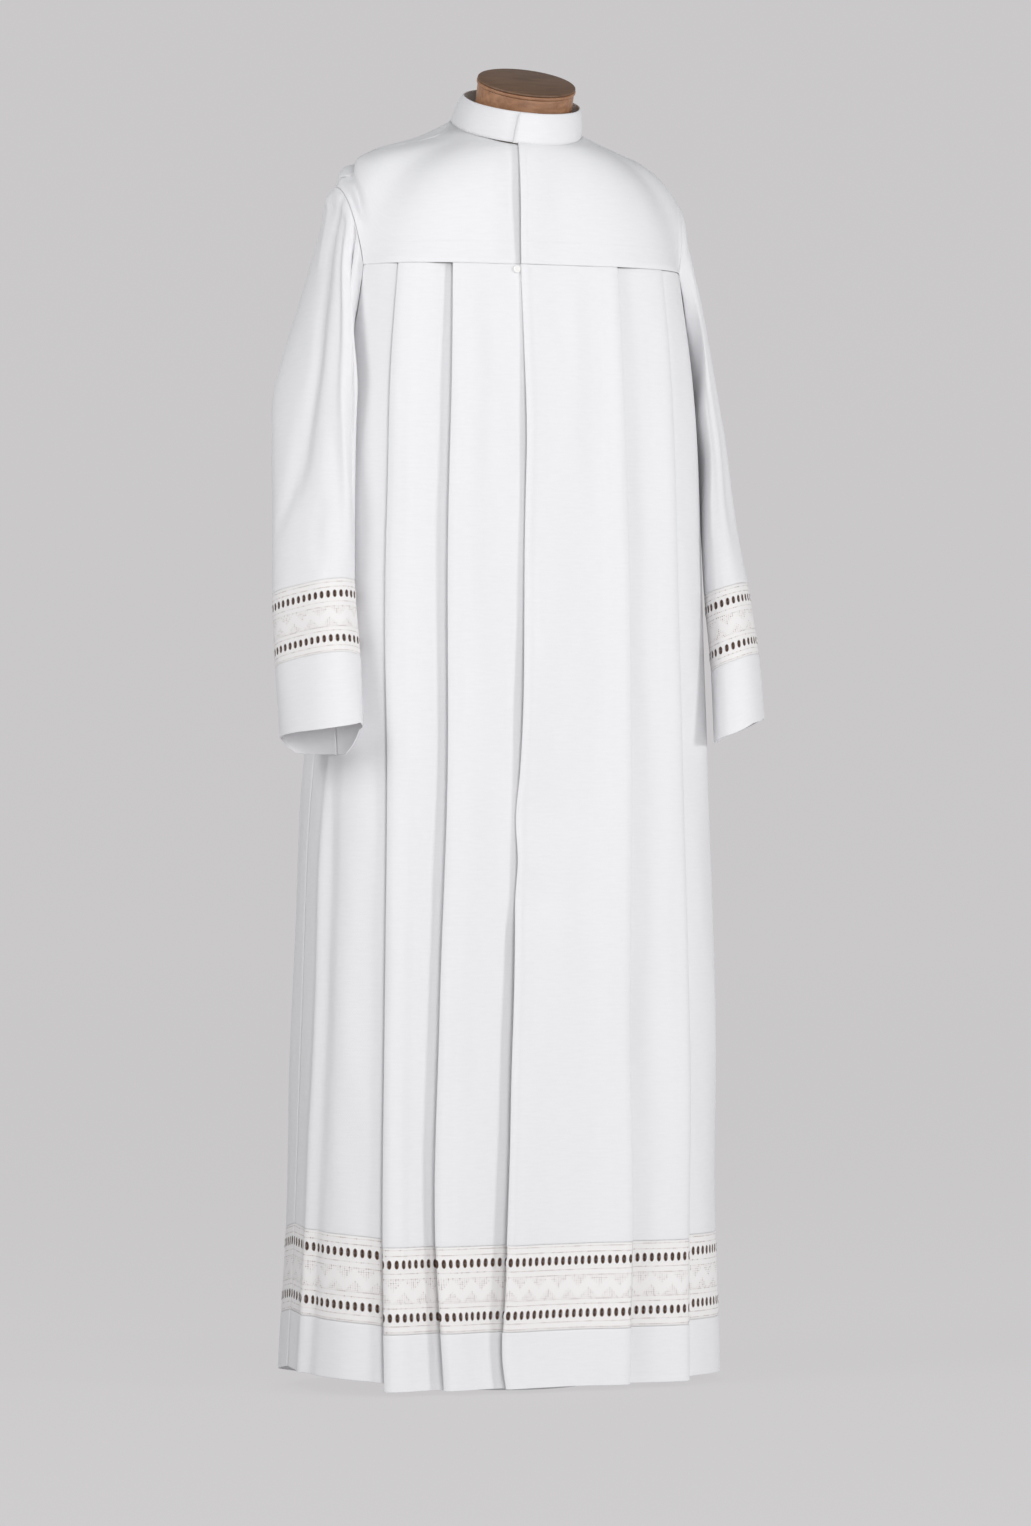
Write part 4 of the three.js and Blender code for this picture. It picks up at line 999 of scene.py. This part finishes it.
def makeYokes():
    over, middle, sewing = yokeCut["over"], yokeCut["middle"], yokeCut["stitches"]
    counts = yokeCut["counts"]
    upper = np.linspace(0, 1, counts["armhole"])[1:]
    for name, side, seed, lift in (("right", -1, 0.6, tuckUnder), ("left", 1, 2.0, overlapLift)):
        parts = [np.linspace(*yokeCut["overlap"][name]), np.linspace(over, armholeX, counts["front"])]
        seamX = np.concatenate(parts if side > 0 else [-parts[1][::-1], parts[0]])
        turns = [neckTurns(seamX), side * mix(yokeCut["cornerTurn"], 90, upper)]
        edges = [seamPoints(seamX, False), armholeEdges(90 * upper, side)]
        seamPart = slice(2, len(seamX) - 1)
        if side < 0:
            turns, edges = ([rows[1][::-1], rows[0]] for rows in (turns, edges))
            seamPart = slice(len(upper) + 3, None)
        grid = makeYoke(f"front_{name}", np.concatenate(turns), np.concatenate(edges), seed, lift)
        if side > 0:                           # stitches beside the free edge, and above the seam
            column = int(np.searchsorted(distances(grid[0]), sewing["beside"]))
            sewOn(grid, middle, np.s_[2:, column], sewing["out"])
        sewOn(grid, middle, np.s_[sewing["row"], seamPart], sewing["out"])
    corner = 180 - yokeCut["cornerTurn"]
    quarter, seamShare = np.linspace(0, 1, counts["armhole"])[:-1], np.linspace(0, 1, counts["back"])
    leftTurns, angles = mix(90, corner, quarter), mix(90, 180, quarter)
    turns = np.concatenate([leftTurns, mix(corner, 360 - corner, seamShare), 360 - leftTurns[::-1]])
    edges = np.concatenate([armholeEdges(angles, 1), seamPoints(mix(armholeX, -armholeX, seamShare), True),
                            armholeEdges(angles[::-1], -1)])
    makeYoke("back", turns, edges, 2.0)


makeYokes()
makeCollar()
print("yoke and collar made")


sleeveCut = {            # from the armhole down to the wrist: places and half sizes of the sections
    "out": (217, 224.5, 233, 248.5, 249.5, 254, 258, 261.6),
    "forward": (0, 2, 4, 8, 18, 33, 41, 46),
    "height": (1268, 1232, 1193, 1150, 1096, 1030, 980, 933),
    "deep": (64, 73, 82, 80, 67, 57, 53, 50),
    "outer": (98, 78, 57, 32, 27, 31, 33, 34.5),
    "inner": (98, 78, 57, 35, 20, 22, 27, 31),
    "lean": (90, 89, 81, 57, 29, 12, 6, 4),
    "turn": (3, 6, 12, 19, 25, 32, 37, 40),
}
cuffCut = {"out": 258, "forward": 83, "deep": 54, "outer": 37, "inner": 34, "turn": 36}
cuffSides = {            # the hem: turns round the cuff, and its heights there
    "right": {"height": 760, "lean": 18, "pinch": 1.3,
              "hem": ((-90, -80, -66, -50, 0, 90, 180, 212, 240, 270),
                      (736.5, 736.5, 748, 766, 774, 763.5, 753, 739, 737, 736.5))},
    "left": {"height": 766, "lean": 12, "pinch": 0.86,
             "hem": ((-90, -45, 0, 45, 90, 135, 180, 225, 270),
                     (751, 755, 762, 776, 781.5, 779, 767, 759, 751))},
}
leftSleeve = {           # how the left sleeve differs: shifts, then shares of the right one's sizes
    "height": (766, 845, 933, 980, 1030, 1096, 1150, 1193, 1232),
    "out": (-2, -6, -14, -15.5, -14, -6.5, -11, -2, 0),
    "lean": (14, 14, 14, 14, 12.5, 4, 0, 0, 0),
    "outer": (1, 1, 0.97, 0.9, 0.85, 0.86, 0.86, 1, 1),
    "flat": (0.76, 0.72, 0.66, 0.62, 0.62, 0.6, 0.7, 0.85, 1),
}
sleeveShape = {
    "power": 0.86,
    "laceDepth": 88,
    "laceScale": 0.88,
    "rise": {"right": 0.2, "left": 0.05},      # how far the front of a section rides up
    "riseFrom": 1100,
    "riseTo": 940,
    "thickness": 0.8,
    "cuffThickness": 1.28,
    "step": 6,
    "head": {"out": 3.2, "at": 11, "width": 8, "fade": 5},     # it stands up a little beside the armhole
    "drift": 0.55,
    "driftSeed": 2.2,
    "driftScale": (0.9, 0.7),
    "eases": 26,
    "beside": (0.5, 1.9),            # how far outside the armhole it starts, above and below
    "foldRise": (-0.04, 0.18),       # the shares of a fold's length over which it rises and fades
    "foldFall": (0.75, 1.04),
}
sleeveAngles = np.linspace(-90, 270, 217)      # 0 front, 90 outward or on top, 180 back, 270 underneath
sleeveCos, sleeveSin = turned(sleeveAngles)


def sleeveRing(section, name):
    if name == "left":
        shift = {key: np.interp(section["height"], leftSleeve["height"], leftSleeve[key])
                 for key in ("out", "lean", "outer", "flat")}
        section = {**section, "out": section["out"] + shift["out"], "lean": section["lean"] + shift["lean"],
                   "outer": section["outer"] * shift["outer"], "inner": section["inner"] * shift["flat"],
                   "turn": section["turn"] * shift["flat"]}
    shape, height = sleeveShape, section["height"]
    (leanCos, leanSin), (turnCos, turnSin) = turned(section["lean"]), turned(section["turn"])
    ride = shape["rise"][name] * smoothStep(-shape["riseFrom"], -shape["riseTo"], -height)
    deep = section["deep"] * signedPower(sleeveCos, shape["power"])
    thick = np.where(sleeveSin >= 0, section["outer"], section["inner"])
    thick = thick * signedPower(sleeveSin, section.get("pinch", shape["power"]))
    out = section["out"] - deep * turnSin + thick * turnCos * leanCos
    forward = section["forward"] + deep * turnCos + thick * turnSin * leanCos
    up = np.interp(sleeveAngles, *section["hem"]) if "hem" in section else height + thick * leanSin + deep * ride
    return np.stack([cutAt(bodyCut, "shift", up) + sides[name] * out, -forward, up], axis=1)


def sleeveRings(name):
    sections = [dict(zip(sleeveCut, row)) for row in zip(*sleeveCut.values())]
    wrist, cuff, side = sections[-1], {**cuffCut, **cuffSides[name]}, sides[name]
    down = sleeveShape["laceDepth"] / (wrist["height"] - cuff["height"])
    lace = {key: mix(wrist[key], cuff[key], down) for key in sleeveCut}
    first = armholePoints(sleeveAngles, side)
    below = smoothStep(0, armhole["halfDepth"] / 2, bodyCut["seamHeight"] - first[:, 2])
    first[:, 0] += side * mix(*sleeveShape["beside"], below)
    return np.array([first] + [sleeveRing(section, name) for section in [*sections, lace, cuff]])


# Each fold of a sleeve: its heights, its angles round the sleeve there, its width, and how far it
# stands out.
sleeveFolds = {
    "right": (
        ((1398, 1360, 1330, 1260, 1190, 1120, 1050, 985), (58, 74, 80, 79, 72, 80, 96, 130), 9, -6.0),
        ((1370, 1300, 1230, 1160, 1090, 1020), (64, 60, 58, 54, 58, 66), 15, 4.0),
        ((1370, 1300, 1230, 1160, 1090, 1010, 950), (46, 41, 35, 28, 22, 14, 8), 8, 4.6),
        ((1350, 1280, 1200, 1120, 1040, 960), (26, 20, 8, -2, -8, -14), 10, -4.8),
        ((1404, 1385, 1350, 1300), (104, 98, 96, 96), 10, 2.2),
        ((1400, 1370, 1330, 1290), (34, 30, 24, 18), 7, -6.0),
        ((1040, 1000, 955), (58, 66, 60), 10, -1.4),
        ((1240, 1160, 1080), (150, 158, 168), 16, -3.0),
        ((1120, 1040, 960), (196, 204, 206), 14, -2.4),
    ),
    "left": (
        ((1400, 1370, 1320, 1270), (84, 76, 70, 66), 8, -2.0),
        ((1330, 1270, 1200, 1120, 1040, 970), (44, 48, 58, 70, 78, 82), 10, 2.2),
        ((1300, 1240, 1180, 1110, 1030, 960), (20, 26, 36, 48, 54, 58), 12, -3.2),
        ((1180, 1110, 1040, 980), (-8, -4, 6, 12), 10, -2.0),
        ((1230, 1150, 1070), (120, 132, 140), 16, -3.0),
        ((1130, 1050, 970), (190, 200, 204), 14, -2.4),
    ),
}


def foldOut(folds, height, perimeter):
    total = 0
    for heights, angles, width, out in folds:
        middle = curveAt(heights[::-1], angles[::-1], height)
        share = (heights[0] - height) / (heights[0] - heights[-1])
        ends = fadeEnds(share, sleeveShape["foldRise"], sleeveShape["foldFall"])
        total = total + out * ends * bell((sleeveAngles - middle) / 360 * perimeter[:, None], width)
    return total


def softLoft(place, rings, levels):            # straight between the rings, with the bends eased
    even = np.arange(0, place[-1] + 6, 6.0)
    share = np.interp(even, place, np.arange(len(place)))
    low = np.minimum(share.astype(int), len(place) - 2)
    grid = mix(rings[low], rings[low + 1], (share - low)[:, None, None])
    for step in range(sleeveShape["eases"]):
        grid[1:-1] = (grid[:-2] + 2 * grid[1:-1] + grid[2:]) / 4
    grid[0], grid[-1] = rings[0], rings[-1]
    return curveAt(even, grid, levels)


def sleeveGrid(rings, low, high, seams, name):
    place = distances(rings)
    levels = levelsBetween(place[low], place[high], sleeveShape["step"])
    grid = softLoft(place, rings, levels)
    middle, down = grid.mean(axis=(0, 1)), levels[:, None]
    normals = gridNormals(grid, middle)
    normals[:, 0] = normals[:, -1] = unit(normals[:, 0] + normals[:, -1])
    out = foldOut(sleeveFolds[name], grid[..., 2], np.array([distances(row)[-1] for row in grid]))
    seed = sides[name] * sleeveShape["driftSeed"]
    wide, tall = sleeveShape["driftScale"]
    out += sleeveShape["drift"] * softDrift(sleeveAngles * wide, grid[..., 2] * tall, seed)
    for ring in seams:
        out -= seam["depth"] * bell(down - place[ring], seam["reach"])
    if low == 0:
        head = sleeveShape["head"]
        out += head["out"] * np.clip(sleeveSin, 0, 1) * bell(down - head["at"], head["width"])
        out *= smoothStep(0, head["fade"], down)
    grid = grid + normals * out[..., None]
    ends = [seam["gap"] / 2 * unit(grid[:, near] - grid[:, edge]) for edge, near in ((0, 1), (-1, -2))]
    grid[:, 0] += ends[0]
    grid[:, -1] += ends[1]
    return grid, levels, middle


def makeSleeve(name):
    rings = sleeveRings(name)
    wrist, cuffTop, end = (len(rings) - 3 + i for i in range(3))
    sleeve, laceName = f"sleeveCloth_{name}", f"sleeveLace_{name}"
    grid, levels, middle = sleeveGrid(rings, 0, wrist, (wrist,), name)
    widths = np.array([distances(row)[-1] for row in grid])
    uvs = gridUvs(sleeveAngles[None, :] / 360 * widths.mean(), levels[:, None])
    makeSheet(sleeve, f"sleeve_{name}", grid, uvs, sleeveShape["thickness"], middle)

    grid, levels, middle = sleeveGrid(rings, wrist, cuffTop, (wrist, cuffTop), name)
    makeLaceBand(laceName, f"sleeve_lace_{name}", "sleeveLace", grid[::-1], levels - levels[0],
                 sleeveShape["laceScale"], middle)

    grid, levels, middle = sleeveGrid(rings, cuffTop, end, (cuffTop,), name)
    across = distances(grid, axis=1)
    makeSheet(f"cuffCloth_{name}", f"cuff_{name}", grid, gridUvs(across, levels[:, None]),
              sleeveShape["cuffThickness"], middle)


makeSleeve("right")
makeSleeve("left")


formCut = {
    "turns": 96,
    "rows": 110,
    "inset": 7,          # the shoulders lie this far under the yoke, but close beside the armholes
    "besideInset": 2.8,
    "shoulders": (0.58, 0.4, 0.2, 0.04),       # the yoke's rows that they follow
    "top": (9, -50, 1529),
    "lean": 22,
    "neckRadius": 57,
    "blockHeight": 48,
    "capRadius": 58.5,
    "capHeight": 7,
    "lip": 3.2,
    "poleRadius": 16,
    "poleY": 12,
    "baseRadius": 112,
    "baseHeight": 12,
    "bottom": 720,
    "gap": 0.3,          # between the hard pieces
}
torsoCut = {             # levels at the front and side, with the half sizes
    "front": (1366, 1310, 1240, 1150, 1020, 900, 800, 730),
    "side": (1408, 1365, 1290, 1170, 1020, 900, 800, 730),
    "halfWidth": (187, 189, 181, 169, 150, 169, 181, 176),
    "halfFront": (114, 118, 117, 112, 99, 106, 112, 108),
    "halfBack": (109, 118, 116, 106, 93, 108, 118, 114),
}


def yokeRimAt(turns):                          # the yoke's outer edge at any turn round the neck
    corner, rim = yokeCut["cornerTurn"], []
    for turn in turns:
        size, sign = abs(turn), -1 if turn < 0 else 1
        if size <= straightTurn:
            rim.append(seamPoints([sign * turned(size)[1] * collarCut["halfWidth"][0]], False))
        elif size <= corner:
            share = (size - straightTurn) / (corner - straightTurn)
            rim.append(seamPoints([sign * mix(yokeCut["over"], armholeX, share)], False))
        elif size >= 180 - corner:
            rim.append(seamPoints([sign * armholeX * (180 - size) / corner], True))
        else:
            rim.append(armholePoints(np.array([90 * (size - corner) / (90 - corner)]), sign))
    return np.concatenate(rim)


def neckLevel(turns, radius, below):
    (cos, sin), (leanCos, leanSin), (x, y, z) = turned(turns), turned(formCut["lean"]), formCut["top"]
    deep = -radius * cos
    return np.stack([x + radius * sin, y + deep * leanCos + below * leanSin,
                     z + deep * leanSin - below * leanCos], axis=1)


def makeTorso():
    count = formCut["turns"]
    turns = np.linspace(-180, 180, count, endpoint=False)
    cos, sin = turned(turns)
    rings = []
    for front, side, halfWidth, halfFront, halfBack in zip(*torsoCut.values()):
        depth = np.where(cos >= 0, halfFront, halfBack)
        rings.append(np.stack([halfWidth * sin, -depth * cos, mix(front, side, sin ** 4)], axis=1))
    shoulders = yokeGrid(turns, yokeRimAt(turns))
    picked = np.array([shoulders[int(np.argmin(np.abs(yokeShares - share)))] for share in formCut["shoulders"]])
    inset = mix(formCut["inset"], formCut["besideInset"], smoothStep(0.8, 0.93, np.abs(sin)))
    picked = picked - unit(picked - yokeCut["middle"]) * inset[None, :, None]
    neck = neckLevel(turns, formCut["neckRadius"], formCut["capHeight"] + formCut["blockHeight"])
    low = rings[-1] * (0.94, 0.94, 0) + (0, 0, formCut["bottom"])
    control = np.array([low, *rings[::-1], *picked, neck])
    place = distances(control)
    grid = curveAt(place, control, np.linspace(0, place[-1], formCut["rows"]))
    ends = [list(range(count))[::-1], [count * (len(grid) - 1) + i for i in range(count)]]
    piece = meshObject("formTorso", grid.reshape(-1, 3), gridFaces(*grid.shape[:2], around=True) + ends)
    piece.data.shade_smooth()
    faceOutward(piece)
    bpy.ops.object.shade_smooth_by_angle(angle=math.radians(50))
    finishHard(piece, "formLinen", "form_torso")


def cylinder(name, radius, height, middle, rotation, edge, vertices=96, segments=3):   # with soft edges
    bpy.ops.object.select_all(action="DESELECT")
    bpy.ops.mesh.primitive_cylinder_add(vertices=vertices, radius=radius * mm, depth=height * mm,
                                        location=middle, rotation=rotation)
    piece = bpy.context.active_object
    piece.name = name
    applyModifier(piece, "BEVEL", width=edge * mm, segments=segments, limit_method="ANGLE",
                  angle_limit=math.radians(40))
    return piece


def makeTurned(name, material, slot, node, radius, low, high, edge, place, lean=0.0, segments=3):
    axis = Vector((0, -math.sin(lean), math.cos(lean)))
    piece = cylinder(name, radius, high - low, Vector(place) * mm + axis * (high + low) / 2 * mm, (lean, 0, 0),
                     edge, segments=segments)
    bpy.ops.object.shade_smooth_by_angle(angle=math.radians(35))
    finishHard(piece, material, node)


def makeNeck():
    form, side = formCut, "capSideWood"
    at = {"place": form["top"], "lean": math.radians(form["lean"])}
    cap, lip = form["capHeight"], form["lip"]
    makeTurned("capTop", "capTopWood", "wood", "form_neck_cap", form["capRadius"] - 0.6, -lip + 0.2, 0, 1.6, **at)
    makeTurned("capRim", side, "wood", "form_neck_cap", form["capRadius"], -cap, -lip, 1.2, **at)
    makeTurned("neckBlock", side, "wood", "form_neck", form["neckRadius"], -cap - form["blockHeight"],
               -cap - form["gap"], 1.0, **at)


def makeStand():
    base, pole, place = formCut["baseHeight"], formCut["poleRadius"], (0, formCut["poleY"], 0)
    steel, gap = ("satinSteel", "steel"), formCut["gap"]
    makeTurned("standPole", *steel, "stand_pole", pole, base + gap, formCut["bottom"] - gap, 1.0, place)
    makeTurned("poleCollar", *steel, None, pole + 7, base + 0.2, base + 14, 3.0, place)
    makeTurned("standBase", *steel, "stand_base", formCut["baseRadius"], 0, base, 3.5, place, segments=4)


snap = {"radius": 4.5, "height": 2.4, "x": -32.5, "z": 1302, "out": 2.7, "edge": 0.8, "rim": 1.3, "dish": 0.5}


def makeSnap():
    section = sectionAt(snap["z"])
    arc = arcAtX(section, snap["x"])
    place = Vector((*onSection(section, "place", arc), snap["z"]))
    normal = Vector((*onSection(section, "normal", arc), 0)).normalized()
    piece = cylinder("frontSnap", snap["radius"], snap["height"], place * mm + normal * snap["out"] * mm,
                     normal.to_track_quat("Z", "Y").to_euler(), snap["edge"], 48, 4)
    bpy.ops.object.mode_set(mode="EDIT")
    bpy.ops.mesh.select_all(action="DESELECT")
    bpy.ops.object.mode_set(mode="OBJECT")
    top = max(piece.data.polygons, key=lambda face: (piece.matrix_world @ face.center).dot(normal))
    top.select = True
    bpy.ops.object.mode_set(mode="EDIT")
    bpy.ops.mesh.inset(thickness=snap["rim"] * mm)
    bpy.ops.mesh.inset(thickness=snap["dish"] * mm, depth=-snap["dish"] * mm)
    bpy.ops.object.mode_set(mode="OBJECT")
    bpy.ops.object.shade_smooth_by_angle(angle=math.radians(35))
    finishHard(piece, "snapResin", "front_snap")


def makeStitches():
    rings = np.array(stitches)
    index = np.arange(rings.size // 3).reshape(rings.shape[:3])
    after = np.roll(index, -1, axis=2)
    quads = np.stack([index[:, :-1], after[:, :-1], after[:, 1:], index[:, 1:]], axis=-1).reshape(-1, 4)
    piece = meshObject("sewnStitches", rings.reshape(-1, 3),
                       quads.tolist() + index[:, 0, ::-1].tolist() + index[:, -1].tolist())
    piece.data.shade_smooth()
    finish(piece, "sewingThread")
    print("stitches", len(rings))


makeTorso()
makeNeck()
makeStand()
makeSnap()
makeStitches()


view = {
    "turn": -20,            # degrees round the object from straight in front
    "distance": 7.0,
    "side": 0.0124,
    "height": 0.730,
    "lens": 139.9,
    "sensor": 36,
}
viewCos, viewSin = (float(part) for part in turned(view["turn"]))
rightward, ahead = Vector((viewCos, viewSin, 0)), Vector((-viewSin, viewCos, 0))


def makeCamera():
    camera = bpy.data.objects.new("camera", bpy.data.cameras.new("camera"))
    bpy.context.scene.collection.objects.link(camera)
    camera.location = rightward * view["side"] - ahead * view["distance"] + Vector((0, 0, view["height"]))
    camera.rotation_mode = "QUATERNION"
    camera.rotation_quaternion = ahead.to_track_quat("-Z", "Y")
    camera.data.lens = view["lens"]
    camera.data.sensor_width = view["sensor"]
    camera.data.clip_end = 60
    bpy.context.scene.camera = camera


backdrop = {"half": 18.0, "rise": 12.0, "bend": 2.5, "front": 18.0, "back": 18.0, "glow": (0.655, 0.641, 0.649),
            "glowShare": 0.86, "color": (0.52, 0.51, 0.515)}


def makeBackdrop():
    bend, start = backdrop["bend"], backdrop["back"] - backdrop["bend"]
    profile = [(-backdrop["front"], 0.0), (start, 0.0)]
    for angle in np.radians(np.linspace(7.5, 90, 12)):
        profile.append((start + bend * math.sin(angle), bend * (1 - math.cos(angle))))
    profile.append((backdrop["back"], backdrop["rise"]))
    grid = np.array([[ahead * deep + rightward * across + Vector((0, 0, up))
                      for across in np.linspace(-backdrop["half"], backdrop["half"], 9)]
                     for deep, up in profile]) / mm
    sweep = meshObject("studioSweep", grid.reshape(-1, 3), gridFaces(*grid.shape[:2]))
    tree, shader = newMaterial("paleSweep", backdrop["color"], 0.9, Specular_IOR_Level=0.0)
    glow = addNode(tree, "Emission", {"Color": (*backdrop["glow"], 1)}).outputs[0]
    blend = addNode(tree, "MixShader", {0: backdrop["glowShare"], 1: shader.outputs[0], 2: glow})
    setInputs(tree.nodes["Material Output"], {"Surface": blend.outputs[0]})
    sweep.data.materials.append(materials["paleSweep"])
    sweep.data.shade_smooth()


room = {"color": (0.95, 0.98, 1.0, 1), "strength": 0.25}
lights = {               # in metres and watts
    "frontLight": {"place": (-0.5, -4.9, 1.45), "aim": (0, 0, 0.75), "size": 2.2, "power": 102,
                   "tint": (1, 0.99, 0.985)},
    "leftLight": {"place": (-2.7, -0.8, 2.6), "aim": (-0.1, 0, 1.0), "size": 1.5, "power": 38, "tint": (1, 1, 1)},
    "rightLight": {"place": (3.2, -3.6, 1.8), "aim": (0, 0, 0.75), "size": 1.1, "power": 68, "tint": (1, 1, 1)},
}


def makeLights():
    world = bpy.data.worlds.new("softRoom")
    bpy.context.scene.world = world
    world.use_nodes = True
    setInputs(world.node_tree.nodes["Background"], {0: room["color"], 1: room["strength"]})
    for name, light in lights.items():
        lamp = bpy.data.objects.new(name, bpy.data.lights.new(name, "AREA"))
        lamp.data.shape = "DISK"
        lamp.data.size, lamp.data.energy, lamp.data.color = light["size"], light["power"], light["tint"]
        lamp.location = light["place"]
        lamp.rotation_mode = "QUATERNION"
        lamp.rotation_quaternion = (Vector(light["aim"]) - lamp.location).to_track_quat("-Z", "Y")
        bpy.context.scene.collection.objects.link(lamp)


makeCamera()
makeBackdrop()
makeLights()
bpy.context.scene.view_settings.view_transform = "Standard"
print("stage set")
